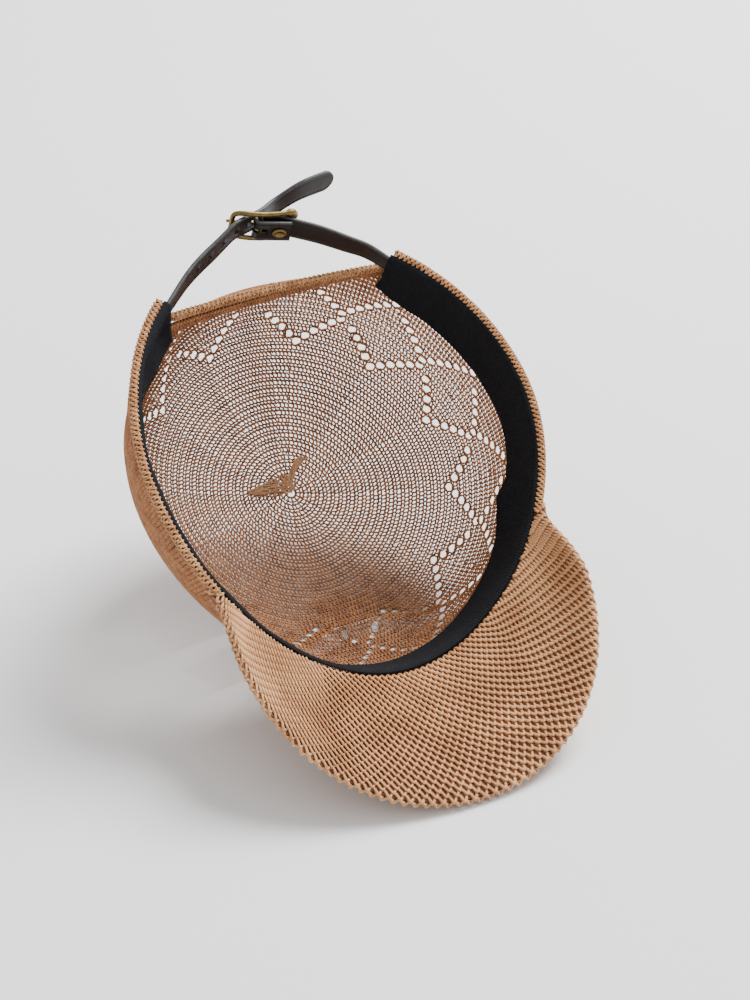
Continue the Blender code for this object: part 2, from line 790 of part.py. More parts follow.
# Its lowest point is on the floor, and the middle of its outline is over the origin
bpy.context.view_layer.update()
graph = bpy.context.evaluated_depsgraph_get()
reach = []
for piece in rest.children:
    shown = piece.evaluated_get(graph)
    shape = shown.to_mesh()
    reach += [shown.matrix_world @ vertex.co for vertex in shape.vertices]
    shown.to_mesh_clear()
low = [min(point[axis] for point in reach) for axis in range(3)]
high = [max(point[axis] for point in reach) for axis in range(3)]
rest.location = (-0.5 * (low[0] + high[0]), -0.5 * (low[1] + high[1]), -low[2])
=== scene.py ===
import math

import bpy
import numpy as np
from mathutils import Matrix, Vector


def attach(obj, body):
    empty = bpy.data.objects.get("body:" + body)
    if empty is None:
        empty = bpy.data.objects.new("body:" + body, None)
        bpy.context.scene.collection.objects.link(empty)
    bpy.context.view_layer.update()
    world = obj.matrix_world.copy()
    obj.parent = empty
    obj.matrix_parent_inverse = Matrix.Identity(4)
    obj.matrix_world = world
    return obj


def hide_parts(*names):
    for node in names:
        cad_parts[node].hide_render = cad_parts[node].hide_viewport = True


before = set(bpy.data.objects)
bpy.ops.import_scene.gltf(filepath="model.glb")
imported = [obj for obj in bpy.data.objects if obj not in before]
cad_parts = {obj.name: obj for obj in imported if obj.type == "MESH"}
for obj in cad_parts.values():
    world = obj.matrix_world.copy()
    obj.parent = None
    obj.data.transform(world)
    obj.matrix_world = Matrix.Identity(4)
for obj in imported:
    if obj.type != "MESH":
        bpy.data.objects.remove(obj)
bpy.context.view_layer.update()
random = np.random.default_rng(7)

# all lengths are metres and all angles degrees
# the hat's own frame: x across, y to the peak, z from the opening to the crown's top
hat = {
    "tilt": 53.2,                       # how far it is tipped onto its peak
    "place": (-0.00038, 0.00935, 0.09873),
    "halfWidth": 0.0850,                # of the opening
    "backReach": 0.1000,
    "frontReach": 0.0990,
    "squareness": 1.92,                 # 2 is an ellipse
    "frontRise": 0.0240,                # the rim rises at the front and back, and drops at the sides
    "backRise": 0.0045,
    "sideDrop": 0.0045,
}

tilt = math.radians(hat["tilt"])
up = np.array((0.0, -math.cos(tilt), -math.sin(tilt)))
hatAxes = np.array((
    (1.0, 0.0, 0.0),
    (0.0, -math.sin(tilt), math.cos(tilt)),
    (0.0, -math.cos(tilt), -math.sin(tilt)),
))


# from the hat's own frame to the row's
def toRow(points):
    return np.asarray(points) @ hatAxes.T + np.array(hat["place"])


def ease(value):
    value = np.clip(value, 0.0, 1.0)
    return value * value * (3.0 - 2.0 * value)


def smoothMax(first, second, softness):
    apart = np.clip(first - second, -softness, softness)
    blended = second + (apart + softness) ** 2 / (4.0 * softness)
    return np.where(first - second > softness, first, np.where(first - second < -softness, second, blended))


def powered(value, power):
    return np.sign(value) * np.abs(value) ** power


def unit(vectors):
    return vectors / np.maximum(np.linalg.norm(vectors, axis=-1, keepdims=True), 1e-12)


# how far along a line each of its points lies
def lengthAlong(points):
    return np.concatenate(((0.0,), np.cumsum(np.linalg.norm(np.diff(points, axis=0), axis=1))))


def valuesAt(at, length, values):
    return np.stack([np.interp(at, length, values[:, i]) for i in range(3)], -1)


# the crown's shape is the solid's, but for its pull
crown = {
    "depth": 0.0980,
    "fullness": 2.62,                   # 2 is round, more is boxier
    "backLean": 0.0148,                 # how far its top lies from the opening's middle
    "sideLean": 0.0060,
    "wall": 0.0021,
    "gapAngle": 40.0,                   # half of the gap in the rim at the back
    "hemDepth": 0.0155,                 # the hem across that gap: below the rim, and behind the middle
    "hemReach": 0.0775,
    "hemBow": 0.0035,
    "hemSkew": 0.0020,
    "flatDepth": 0.0620,                # here the flat back has turned into the round crown
    "press": 0.0046,                    # how deep the floor presses it in
    "softness": 0.0014,
    "foldHeight": 0.0045,               # the fold beside the flat that it lies on
    "foldWidth": 0.0076,
    "foldPlace": 0.50,                  # share of the way from the rim to the top
    "foldBow": 0.14,                    # at foldBowTurn to each side it lies this much nearer to the rim
    "foldBowTurn": 30.0,
    "foldTurn": 42.0,                   # where it ends
    "pull": 0.0052,                     # the wall beyond the hem is drawn in on the left
    "pullStart": 0.006,                 # full this far past the hem
    "pullEnd": 0.040,                   # fades from here, over pullFade
    "pullFade": 0.034,
    "pullRear": 0.25,                   # begins at this share of the back reach, full pullRearFade further
    "pullRearFade": 0.35,
}

profileTurn = np.linspace(0.0, 0.5 * math.pi, 241)
profileReach = np.maximum(np.cos(profileTurn), 0.0) ** (2.0 / crown["fullness"])
profileDepth = np.sin(profileTurn) ** (2.0 / crown["fullness"])
steps = np.hypot(np.diff(profileReach) * hat["halfWidth"], np.diff(profileDepth) * crown["depth"])
profileArc = np.concatenate(((0.0,), np.cumsum(steps)))
crownArc = profileArc[-1]


def rimRise(angle):
    turn = np.radians(angle)
    front = np.maximum(np.sin(turn), 0.0) ** 2
    rear = np.maximum(-np.sin(turn), 0.0) ** 2
    return hat["frontRise"] * front + hat["backRise"] * rear - hat["sideDrop"] * np.cos(turn) ** 2


def planReach(angle, roundness):
    turn = np.radians(angle)
    power = 2.0 / hat["squareness"]
    length = np.where(np.sin(turn) > 0, hat["frontReach"], hat["backReach"])
    mean = (2.0 * hat["halfWidth"] + hat["frontReach"] + hat["backReach"]) / 4.0
    halfWidth = hat["halfWidth"] + roundness * (mean - hat["halfWidth"])
    halfLength = length + roundness * (mean - length)
    return halfWidth * powered(np.cos(turn), power), halfLength * powered(np.sin(turn), power)


def outward(angle):
    turn = np.radians(angle)
    length = np.where(np.sin(turn) > 0, hat["frontReach"], hat["backReach"])
    return unit(np.stack((np.cos(turn) / hat["halfWidth"], np.sin(turn) / length, np.zeros_like(turn)), -1))


# a place on the crown: angle round the opening, and arc, the way from the rim to the top
def freeCrownPoint(angle, arc):
    angle, arc = np.broadcast_arrays(np.asarray(angle, float), np.asarray(arc, float))
    reach = np.interp(arc, profileArc, profileReach)
    depth = np.interp(arc, profileArc, profileDepth)
    wide, long = planReach(angle, depth)
    x = wide * reach + crown["sideLean"] * depth
    y = long * reach - crown["backLean"] * depth
    z = crown["depth"] * depth + rimRise(angle) * (1.0 - depth)
    gapHalf = hat["halfWidth"] * math.cos(math.radians(90.0 - crown["gapAngle"]))
    bow = crown["hemBow"] * np.maximum(1.0 - (x / gapHalf) ** 2, 0.0)
    filled = ease((arc - crown["hemDepth"]) / (crown["flatDepth"] - crown["hemDepth"]))
    flat = -(crown["hemReach"] + bow + filled * (hat["backReach"] + crown["hemBow"] - crown["hemReach"]))
    flat += crown["hemSkew"] * (1.0 - x / gapHalf) * ease(arc / crown["hemDepth"]) * (1.0 - filled)
    y = np.where(y < 0.0, smoothMax(y, flat, crown["hemBow"]), y)
    beyond = ease((arc - crown["hemDepth"]) / crown["pullStart"])
    beyond = beyond * (1.0 - ease((arc - crown["pullEnd"]) / crown["pullFade"]))
    rear = ease((-y / hat["backReach"] - crown["pullRear"]) / crown["pullRearFade"])
    y = y + 0.5 * crown["pull"] * np.clip(1.0 - x / gapHalf, 0.0, 2.0) * beyond * rear
    return np.stack((x, y, z), -1)


undersideAngles = np.arange(40.0, 145.0, 5.0)
undersideArcs = crownArc * np.arange(10, 60) / 60.0
lowest = np.min(freeCrownPoint(*np.meshgrid(undersideAngles, undersideArcs)) @ up)
floorHeight = lowest - crown["wall"] + crown["press"]


# the same place once the hat lies on the floor
def crownPoint(angle, arc):
    angle, arc = np.broadcast_arrays(np.asarray(angle, float), np.asarray(arc, float))
    point = freeCrownPoint(angle, arc)
    height = point @ up
    lift = smoothMax(height, floorHeight + crown["wall"], crown["softness"]) - height
    turn = (angle + 90.0) % 360.0 - 180.0
    foldArc = crownArc * (crown["foldPlace"] - crown["foldBow"] * (turn / crown["foldBowTurn"]) ** 2)
    fold = ease(1.0 - np.abs(arc - foldArc) / crown["foldWidth"]) * ease(1.0 - np.abs(turn) / crown["foldTurn"])
    return point + (lift + crown["foldHeight"] * fold)[..., None] * up


def crownNormal(angle, arc):
    turnStep, arcStep = 0.25, 0.0004
    along = crownPoint(angle + turnStep, arc) - crownPoint(angle - turnStep, arc)
    across = crownPoint(angle, arc + arcStep) - crownPoint(angle, arc - arcStep)
    return unit(np.cross(along, across))


# points in the row's frame, four corner numbers for each face
def makeMesh(name, points, quads, uvs=None):
    mesh = bpy.data.meshes.new(name)
    mesh.vertices.add(len(points))
    mesh.vertices.foreach_set("co", np.asarray(points, np.float32).ravel())
    mesh.loops.add(quads.size)
    mesh.loops.foreach_set("vertex_index", quads.astype(np.int32).ravel())
    mesh.polygons.add(len(quads))
    mesh.polygons.foreach_set("loop_start", np.arange(0, quads.size, 4, dtype=np.int32))
    mesh.polygons.foreach_set("use_smooth", np.ones(len(quads), bool))
    mesh.update(calc_edges=True)
    if uvs is not None:
        layer = mesh.uv_layers.new(name="UVMap")
        layer.data.foreach_set("uv", np.asarray(uvs, np.float32)[quads.ravel()].ravel())
    mesh.validate()
    return mesh


def addPiece(name, mesh, material, slot, *replaced):
    print(name, sum(len(face.vertices) - 2 for face in mesh.polygons), "triangles")
    piece = bpy.data.objects.new(name, mesh)
    bpy.context.scene.collection.objects.link(piece)
    mesh.materials.append(material)
    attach(piece, "root")
    if replaced:
        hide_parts(*replaced)
    return piece


uvPerMetre = 100.0


# gathers yarns and wires, each swept along its points, into one mesh
class Tubes:
    def __init__(self):
        self.points = []
        self.quads = []
        self.uvs = []
        self.count = 0

    # thin is the thickness along the normals as a share of the radius across them
    def add(self, path, normals, radius, thin=1.0, sides=5, closed=False):
        path = np.asarray(path, float)
        if closed:
            ahead = np.roll(path, -1, axis=0) - np.roll(path, 1, axis=0)
        else:
            ahead = np.gradient(path, axis=0)
        ahead = unit(ahead)
        side = unit(np.cross(normals, ahead))
        lift = np.cross(ahead, side)
        turn = 2.0 * math.pi * np.arange(sides) / sides
        radius = np.broadcast_to(radius, (len(path),))[:, None, None]
        ring = side[:, None, :] * np.cos(turn)[None, :, None] + thin * lift[:, None, :] * np.sin(turn)[None, :, None]
        points = path[:, None, :] + radius * ring
        length = lengthAlong(path)[:, None] * uvPerMetre
        uv = np.stack(np.broadcast_arrays(length, (np.arange(sides) / sides)[None, :]), -1)
        rings = len(path)
        spans = rings if closed else rings - 1
        here = np.arange(spans)[:, None] * sides + np.arange(sides)[None, :]
        there = ((np.arange(spans)[:, None] + 1) % rings) * sides + np.arange(sides)[None, :]
        nextHere = np.roll(here, -1, axis=1)
        nextThere = np.roll(there, -1, axis=1)
        quads = np.stack((here, nextHere, nextThere, there), -1).reshape(-1, 4)
        self.points.append(points.reshape(-1, 3))
        self.uvs.append(uv.reshape(-1, 2))
        self.quads.append(quads + self.count)
        self.count += rings * sides

    def mesh(self, name):
        return makeMesh(name, np.concatenate(self.points), np.concatenate(self.quads), np.concatenate(self.uvs))


# a closed slab from a grid of points, thick along its normals
def sheetMesh(name, rows, thick, normals):
    rows = np.asarray(rows)
    high, wide = rows.shape[:2]
    near = rows.reshape(-1, 3)
    far = (rows + normals * thick).reshape(-1, 3)
    index = np.arange(high * wide).reshape(high, wide)
    a, b, c, d = index[:-1, :-1], index[:-1, 1:], index[1:, 1:], index[1:, :-1]
    front = np.stack((a, d, c, b), -1).reshape(-1, 4)
    rear = np.stack((a, b, c, d), -1).reshape(-1, 4) + high * wide
    rim = np.concatenate((index[0, :], index[1:, -1], index[-1, -2::-1], index[-2:0:-1, 0]))
    after = np.roll(rim, -1)
    sides = np.stack((rim, after, after + high * wide, rim + high * wide), -1)
    u, v = np.meshgrid(np.linspace(0, 1, wide), np.linspace(0, 1, high))
    uv = np.stack((u, v), -1).reshape(-1, 2)
    return makeMesh(name, np.concatenate((near, far)), np.concatenate((front, rear, sides)), np.concatenate((uv, uv)))


# start and end of each stretch where the mask is true
def runs(mask):
    edges = np.flatnonzero(np.diff(np.concatenate(((0,), mask.astype(int), (0,)))))
    return list(zip(edges[::2], edges[1::2]))


def nodeGroup(name, inputs, outputs):
    group = bpy.data.node_groups.new(name, "ShaderNodeTree")
    for title, kind, value in inputs:
        socket = group.interface.new_socket(title, in_out="INPUT", socket_type=kind)
        socket.default_value = value
    for title, kind in outputs:
        group.interface.new_socket(title, in_out="OUTPUT", socket_type=kind)
    start = group.nodes.new("NodeGroupInput")
    end = group.nodes.new("NodeGroupOutput")
    return group, start, end


def addNoise(group, source, size, detail):
    noise = group.nodes.new("ShaderNodeTexNoise")
    noise.inputs["Scale"].default_value = size
    noise.inputs["Detail"].default_value = detail
    group.links.new(source, noise.inputs["Vector"])
    return noise


def addMix(group, factor, first, second):
    mix = group.nodes.new("ShaderNodeMix")
    mix.data_type = "RGBA"
    group.links.new(factor, mix.inputs["Factor"])
    group.links.new(first, mix.inputs[6])
    group.links.new(second, mix.inputs[7])
    return mix.outputs[2]


# a material round one of the groups, which gives its colour, its height and perhaps its roughness
def lookFrom(name, group, values, bumpStrength, bumpDistance, specular=0.5, metallic=0.0, roughness=None):
    made = bpy.data.materials.new(name)
    made.use_nodes = True
    nodes, link = made.node_tree.nodes, made.node_tree.links.new
    shader = nodes["Principled BSDF"]
    look = nodes.new("ShaderNodeGroup")
    look.node_tree = group
    for title, value in values.items():
        look.inputs[title].default_value = value
    bump = nodes.new("ShaderNodeBump")
    bump.inputs["Strength"].default_value = bumpStrength
    bump.inputs["Distance"].default_value = bumpDistance
    link(look.outputs["Height"], bump.inputs["Height"])
    link(bump.outputs["Normal"], shader.inputs["Normal"])
    link(look.outputs["Color"], shader.inputs["Base Color"])
    if roughness is None:
        link(look.outputs["Roughness"], shader.inputs["Roughness"])
    else:
        shader.inputs["Roughness"].default_value = roughness
    shader.inputs["Specular IOR Level"].default_value = specular
    shader.inputs["Metallic"].default_value = metallic
    return made


# twisted paper yarn: pale and dark streaks along the strand, and patches of tone over the piece
def makeFibre():
    group, start, end = nodeGroup(
        "paperFibre",
        [
            ("Pale", "NodeSocketColor", (0.6, 0.35, 0.2, 1.0)),
            ("Dark", "NodeSocketColor", (0.3, 0.14, 0.07, 1.0)),
            ("Patch Size", "NodeSocketFloat", 60.0),
            ("Streak Size", "NodeSocketFloat", 8.0),
        ],
        [("Color", "NodeSocketColor"), ("Height", "NodeSocketFloat")],
    )
    nodes, link = group.nodes, group.links.new
    uv = nodes.new("ShaderNodeTexCoord")
    stretch = nodes.new("ShaderNodeMapping")
    stretch.inputs["Scale"].default_value = (2.0, 6.0, 1.0)
    stretch.inputs["Rotation"].default_value = (0.0, 0.0, 0.5)
    link(uv.outputs["UV"], stretch.inputs["Vector"])
    streaks = addNoise(group, stretch.outputs["Vector"], 8.0, 3.0)
    link(start.outputs["Streak Size"], streaks.inputs["Scale"])
    patches = addNoise(group, uv.outputs["Object"], 60.0, 2.0)
    link(start.outputs["Patch Size"], patches.inputs["Scale"])
    total = nodes.new("ShaderNodeMath")
    total.operation = "ADD"
    link(streaks.outputs["Fac"], total.inputs[0])
    link(patches.outputs["Fac"], total.inputs[1])
    tone = nodes.new("ShaderNodeMapRange")
    tone.inputs["From Min"].default_value = 0.72
    tone.inputs["From Max"].default_value = 1.28
    link(total.outputs[0], tone.inputs["Value"])
    link(addMix(group, tone.outputs["Result"], start.outputs["Dark"], start.outputs["Pale"]), end.inputs["Color"])
    link(streaks.outputs["Fac"], end.inputs["Height"])
    return group


fibre = makeFibre()


def yarnMaterial(name, yarn):
    values = {"Pale": (*yarn["pale"], 1.0), "Dark": (*yarn["dark"], 1.0), "Patch Size": yarn["patchSize"]}
    return lookFrom(name, fibre, values, 0.5, 0.0003, specular=0.3, roughness=0.65)


print("crown knit")
crownKnit = {                           # knitted sideways: each course runs from the rim to the top
    "yarn": 0.00047,                    # radius across the yarn
    "thin": 0.85,                       # its thickness as a share of that
    "wale": 0.0034,                     # one loop along a course
    "course": 0.0019,                   # from one course to the next, round the crown
    "goreWidth": 29.3,                  # twelve gores and a narrow one, each with its eyelets
    "firstGore": -72.0,
    "reach": 0.72,                      # how far a loop reaches to each side, in courses
    "bulge": 0.14,
    "uneven": 0.05,                     # wide and narrow gaps by turns
    "lean": 0.10,
    "relief": 0.00045,
    "points": 8,                        # to a loop
    "sides": 4,
    "jitter": 0.03,
    "drift": 0.00006,
    "leastRoom": 0.6,                   # courses left in a gore where it is narrowest
    "overlap": 1.02,
    "rimReach": 0.55,                   # how much of the reach is left at the rim, where the knit is close
    "rimClose": 0.016,                  # close down to here, open rimFade further
    "rimFade": 0.014,
    "rimThicker": 0.42,                 # thicker yarn there, down to thickEnd, fading over thickFade
    "thickEnd": 0.002,
    "thickFade": 0.044,
    "rimRoom": 0.0022,
    "topRoom": 0.0010,
    "hemRoom": 0.0010,
    "gapRoom": 0.8,
    "leastPoints": 3,                   # shorter ends of yarn are left out
    "pale": (0.58, 0.265, 0.115),
    "dark": (0.24, 0.088, 0.034),
    "patchSize": 200.0,
}
crownParts = (("crown_knit_right", 0, 3), ("crown_knit_front", 3, 6), ("crown_knit_left", 6, 9), ("crown_knit_back", 9, 13))

eyelet = {
    "long": 0.00240,                    # half the hole's length and width, to the middle of the yarn
    "short": 0.00180,
    "slant": 36.0,                      # from the line that runs to the rim
    "border": 1.15,                     # yarn within this many holes' reach is drawn aside
    "cut": 0.80,                        # yarn that still crosses this much of the hole is left out
}

# eyelets of one gore: (wale from the rim, steps of two courses from the gore's line)
eyeletChart = [
    (23, 0), (22, 1), (21, 2), (20, 3), (19, 4), (18, 5),
    (22, -1), (21, -2), (20, -3), (19, -4),
    (17, 5), (16, 4), (15, 3), (14, 2), (13, 1),
    (16, 6), (15, 7), (14, 8), (13, 9), (12, 10), (11, 11), (10, 12), (9, 13),
]


# how many courses a gore holds at this distance from the rim
def coursesAt(arc):
    ring = crownPoint(np.linspace(0.0, 360.0, 181)[None, :], np.asarray(arc)[:, None])
    length = np.sum(np.linalg.norm(np.diff(ring, axis=1), axis=2), axis=1)
    return length * crownKnit["goreWidth"] / 360.0 / crownKnit["course"]


goreArcs = np.linspace(0.0, crownArc, 121)
goreCourses = np.minimum.accumulate(coursesAt(goreArcs))
goreRings = goreCourses * crownKnit["course"] * 360.0 / crownKnit["goreWidth"]


# angle and distance from the rim of each eyelet's middle
def eyeletMiddles():
    found = []
    for gore in range(int(360.0 / crownKnit["goreWidth"])):
        start = crownKnit["firstGore"] + gore * crownKnit["goreWidth"]
        for wale, step in eyeletChart:
            arc = (wale + 0.5) * crownKnit["wale"]
            room = np.interp(arc, goreArcs, goreCourses)
            found.append((start + crownKnit["goreWidth"] * (2.0 * step + 1.0) / room, arc))
    return np.array(found)


eyelets = eyeletMiddles()


# moves yarn out of the eyelets to their borders
# gives the new places, each one's share of the nearest hole, which hole that is, and whether it was moved
def drawAside(angle, arc):
    slant = math.radians(eyelet["slant"])
    ring = np.interp(arc, goreArcs, goreRings)
    x = ((angle[:, None] - eyelets[None, :, 0] + 180.0) % 360.0 - 180.0) * ring[:, None] / 360.0
    y = arc[:, None] - eyelets[None, :, 1]
    long = (x * math.sin(slant) - y * math.cos(slant)) / eyelet["long"]
    short = (x * math.cos(slant) + y * math.sin(slant)) / eyelet["short"]
    far = np.hypot(long, short)
    nearest = np.argmin(far, axis=1)
    pick = np.arange(len(angle)), nearest
    long, short, far = long[pick], short[pick], np.maximum(far[pick], 1e-6)
    factor = np.where(far < eyelet["border"], (1.0 + far * (eyelet["border"] - 1.0) / eyelet["border"]) / far, 1.0)
    long, short = long * factor, short * factor
    movedX = eyelet["long"] * long * math.sin(slant) + eyelet["short"] * short * math.cos(slant)
    movedY = -eyelet["long"] * long * math.cos(slant) + eyelet["short"] * short * math.sin(slant)
    newAngle = angle + (movedX - x[pick]) * 360.0 / ring
    return newAngle, arc + movedY - y[pick], np.stack((long, short), -1), nearest, factor > 1.0


# one course of a gore, cut where it leaves the crown or would cross an eyelet
def knitCourse(tubes, start, width, course):
    scale = width / crownKnit["goreWidth"]
    wales = int(crownArc / crownKnit["wale"])
    t = (np.arange(wales * crownKnit["points"]) + 0.5) / crownKnit["points"]
    phase = 2.0 * math.pi * t
    opened = ease((t * crownKnit["wale"] - crownKnit["rimClose"]) / crownKnit["rimFade"])
    opening = crownKnit["rimReach"] + (1.0 - crownKnit["rimReach"]) * opened
    high = -crownKnit["reach"] * opening * np.cos(phase)
    high += random.normal(0.0, crownKnit["jitter"], len(t))
    spread = crownKnit["bulge"] * np.sin(2.0 * phase) - crownKnit["uneven"] * np.sin(phase)
    along = t + spread + crownKnit["lean"] * high
    arc = along * crownKnit["wale"] + random.normal(0.0, crownKnit["drift"], len(t))
    room = np.maximum(np.interp(arc, goreArcs, goreCourses), crownKnit["leastRoom"]) * scale
    shown = (course + 0.5 <= room) | (course == 0)
    shown &= (arc > crownKnit["rimRoom"]) & (arc < crownArc - crownKnit["topRoom"])
    angle = start + width * np.minimum((course + 0.5 + high) / room, crownKnit["overlap"])
    turn = (angle + 90.0 + 180.0) % 360.0 - 180.0
    behind = np.abs(turn) < crown["gapAngle"] + crownKnit["gapRoom"]
    shown &= ~behind | (arc > crown["hemDepth"] + crownKnit["hemRoom"])
    angle, arc, share, nearest, drawn = drawAside(angle, np.clip(arc, 0.0, crownArc - 0.001))
    middle = 0.5 * (share[1:] + share[:-1])
    across = drawn[1:] & drawn[:-1] & (nearest[1:] == nearest[:-1])
    across &= np.hypot(middle[:, 0], middle[:, 1]) < eyelet["cut"]
    normal = crownNormal(angle, arc)
    lift = crownKnit["relief"] * -np.cos(2.0 * phase)
    path = toRow(crownPoint(angle, arc) + normal * (0.5 * crown["wall"] + lift)[:, None])
    facing = normal @ hatAxes.T
    edgeArc = np.where(behind, crown["hemDepth"], 0.0)
    thicker = 1.0 - ease((arc - edgeArc - crownKnit["thickEnd"]) / crownKnit["thickFade"])
    radius = crownKnit["yarn"] * (1.0 + crownKnit["rimThicker"] * thicker)
    for first, last in runs(shown):
        cuts = [first] + [first + 1 + i for i in np.flatnonzero(across[first:last - 1])] + [last]
        for a, b in zip(cuts, cuts[1:]):
            if b - a > crownKnit["leastPoints"]:
                tubes.add(path[a:b], facing[a:b], radius[a:b], crownKnit["thin"], crownKnit["sides"])


def makeCrownKnit():
    look = yarnMaterial("paperYarn", crownKnit)
    for name, firstGore, lastGore in crownParts:
        tubes = Tubes()
        for gore in range(firstGore, lastGore):
            start = crownKnit["firstGore"] + gore * crownKnit["goreWidth"]
            width = min(crownKnit["goreWidth"], 360.0 - gore * crownKnit["goreWidth"])
            for course in range(int(goreCourses[0] * width / crownKnit["goreWidth"])):
                knitCourse(tubes, start, width, course)
        addPiece(name, tubes.mesh(name), look, "paper_yarn", *(("crown",) if firstGore == 0 else ()))


makeCrownKnit()

print("peak")
peak = {
    "halfWidth": 0.0765,
    "tipReach": 0.1635,
    "sideDrop": 0.0085,
    "shoulder": 0.0775,                 # how far forward it is at its widest
    "bluntness": 0.9,
    "endAngle": 30.0,                   # where it leaves the rim
    "wrap": 106.0,
    "wall": 0.0044,
    "bow": 0.0030,
    "endWidth": 0.0055,
    "endShare": 0.8,                    # narrows to its ends from here
}
peakKnit = {                            # waves of thick yarn, each row linked half a loop on from the last
    "yarn": 0.00066,
    "thin": 0.85,
    "row": 0.0023,
    "narrowest": 0.0019,                # rows lie closer at the peak's ends, down to this
    "closer": 0.16,                     # and closer at the band than at the edge
    "loops": 71,
    "reach": 0.74,
    "lean": 0.08,
    "jitter": 0.055,
    "edgeReach": 0.45,                  # the row along the edge is flatter
    "relief": 0.00055,
    "reliefTurn": 0.6,
    "skin": 0.0010,                     # how deep the middle of the yarn lies in the wall
    "points": 7,
    "leastPoints": 4,
    "sides": 4,
    "pale": (0.76, 0.43, 0.215),
    "dark": (0.48, 0.225, 0.095),
    "patchSize": 60.0,
}
peakCore = {                            # the dark inside, seen through the loops
    "wall": 0.0014,
    "depth": 0.0007,
    "wide": 0.985,                      # shares of the peak's width and length
    "long": 0.965,
    "pale": (0.27, 0.11, 0.048),
    "dark": (0.13, 0.050, 0.021),
    "patchSize": 60.0,
}


# the tip bends until it meets the floor
def tipRise():
    rise = 0.0
    for _ in range(12):
        rows = peakGrid(np.linspace(1.0, -1.0, 31)[None, :], np.array((6.0 / 7.0, 1.0))[:, None], rise)
        along = rows[1, 2:] - rows[1, :-2]
        across = rows[1, 1:-1] - rows[0, 1:-1]
        heights = (rows[1, 1:-1] - unit(np.cross(along, across)) * peak["wall"]) @ up
        rise += (np.min(heights) - floorHeight) / math.sin(tilt)
    return rise


# the peak's under face: share runs from side to side, and across from the crown to the edge
def peakGrid(share, across, rise):
    share, across = np.broadcast_arrays(share, across)
    turn = np.radians(peak["wrap"] * share)
    bend = powered(np.cos(turn), peak["bluntness"])
    droop = np.sin(turn) ** 2
    edge = np.stack((
        peak["halfWidth"] * np.sin(turn),
        peak["shoulder"] + (peak["tipReach"] - peak["shoulder"]) * bend,
        rise - (rise + peak["sideDrop"]) * droop,
    ), -1)
    angle = 90.0 - (90.0 - peak["endAngle"]) * share
    wide, long = planReach(angle, 0.0)
    inner = np.stack((wide, long, rimRise(angle)), -1)
    end = inner + outward(angle) * peak["endWidth"]
    edge = edge + (end - edge) * ease((np.abs(share) - peak["endShare"]) / (1.0 - peak["endShare"]))[..., None]
    point = inner + (edge - inner) * across[..., None]
    point[..., 2] += peak["bow"] * np.sin(math.pi * across) ** 2 * (1.0 - share * share)
    return point


peakRise = tipRise()


def peakPoint(share, across):
    return peakGrid(share, across, peakRise)


# points, normals, and the way out to the edge
def peakSurface(share, across):
    step = 0.01
    along = peakPoint(np.clip(share - step, -1, 1), across) - peakPoint(np.clip(share + step, -1, 1), across)
    outer = peakPoint(share, np.minimum(across + step, 1.0)) - peakPoint(share, np.minimum(across, 1.0) - step)
    return peakPoint(share, across), unit(np.cross(along, outer)), unit(outer)


# shares that lie evenly along the outer edge
def edgeShares(even):
    share = np.linspace(-1.0, 1.0, 801)
    length = lengthAlong(peakPoint(share, np.ones(801)))
    return np.interp(even, length / length[-1], share)


def makePeakKnit():
    tubes = Tubes()
    half = 0.5 * peak["wall"]
    skin = half - peakKnit["skin"]
    roundEdge = 0.5 * math.pi * skin
    t = (np.arange(peakKnit["loops"] * peakKnit["points"]) + 0.5) / peakKnit["points"]
    middle = peakPoint(np.zeros(1), np.ones(1)) - peakPoint(np.zeros(1), np.zeros(1))
    rows = int((np.linalg.norm(middle) + roundEdge) / peakKnit["row"])
    # rows are counted from the middle of the edge: onto the under face, or back over the upper one
    for row in range(-rows, rows + 1):
        phase = 2.0 * math.pi * (t + 0.5 * (row % 2))
        high = -peakKnit["reach"] * (peakKnit["edgeReach"] if row == 0 else 1.0) * np.cos(phase)
        high += random.normal(0.0, peakKnit["jitter"], len(t))
        share = edgeShares(np.clip((t + peakKnit["lean"] * high) / peakKnit["loops"], 0.0, 1.0))
        width = np.linalg.norm(peakPoint(share, np.ones_like(share)) - peakPoint(share, np.zeros_like(share)), axis=-1)
        pitch = np.maximum((width - half + roundEdge) / rows, peakKnit["narrowest"])
        rowShare = (row + high) / rows
        rowShare = rowShare * (1.0 + peakKnit["closer"] * (1.0 - np.abs(rowShare)))
        distance = rowShare * rows * pitch
        onFace = np.maximum(np.abs(distance) - roundEdge, 0.0)
        turn = np.clip(distance / skin, -0.5 * math.pi, 0.5 * math.pi)
        across = 1.0 - (onFace + half) / np.maximum(width, 0.001)
        point, normal, away = peakSurface(share, np.clip(across, 0.0, 1.0))
        direction = normal * np.sin(turn)[:, None] + away * np.cos(turn)[:, None]
        lifted = skin + peakKnit["relief"] * np.cos(phase + peakKnit["reliefTurn"])
        path = toRow(point - normal * half + direction * lifted[:, None])
        facing = direction @ hatAxes.T
        for a, b in runs(across > 0.0):
            if b - a > peakKnit["leastPoints"]:
                tubes.add(path[a:b], facing[a:b], peakKnit["yarn"], peakKnit["thin"], peakKnit["sides"])
    addPiece("peak_knit", tubes.mesh("peak_knit"), yarnMaterial("peakYarn", peakKnit), "peak_yarn", "peak")


def makePeakCore():
    wide, long = peakCore["wide"], peakCore["long"]
    share, across = np.meshgrid(np.linspace(wide, -wide, 81), np.linspace(0.0, long, 21))
    point, normal, _ = peakSurface(share, across)
    rows = toRow(point - normal * (0.5 * peak["wall"] - peakCore["depth"]))
    mesh = sheetMesh("peak_core", rows, -peakCore["wall"], normal @ hatAxes.T)
    addPiece("peak_core", mesh, yarnMaterial("peakCore", peakCore), "peak_yarn")


makePeakKnit()
makePeakCore()

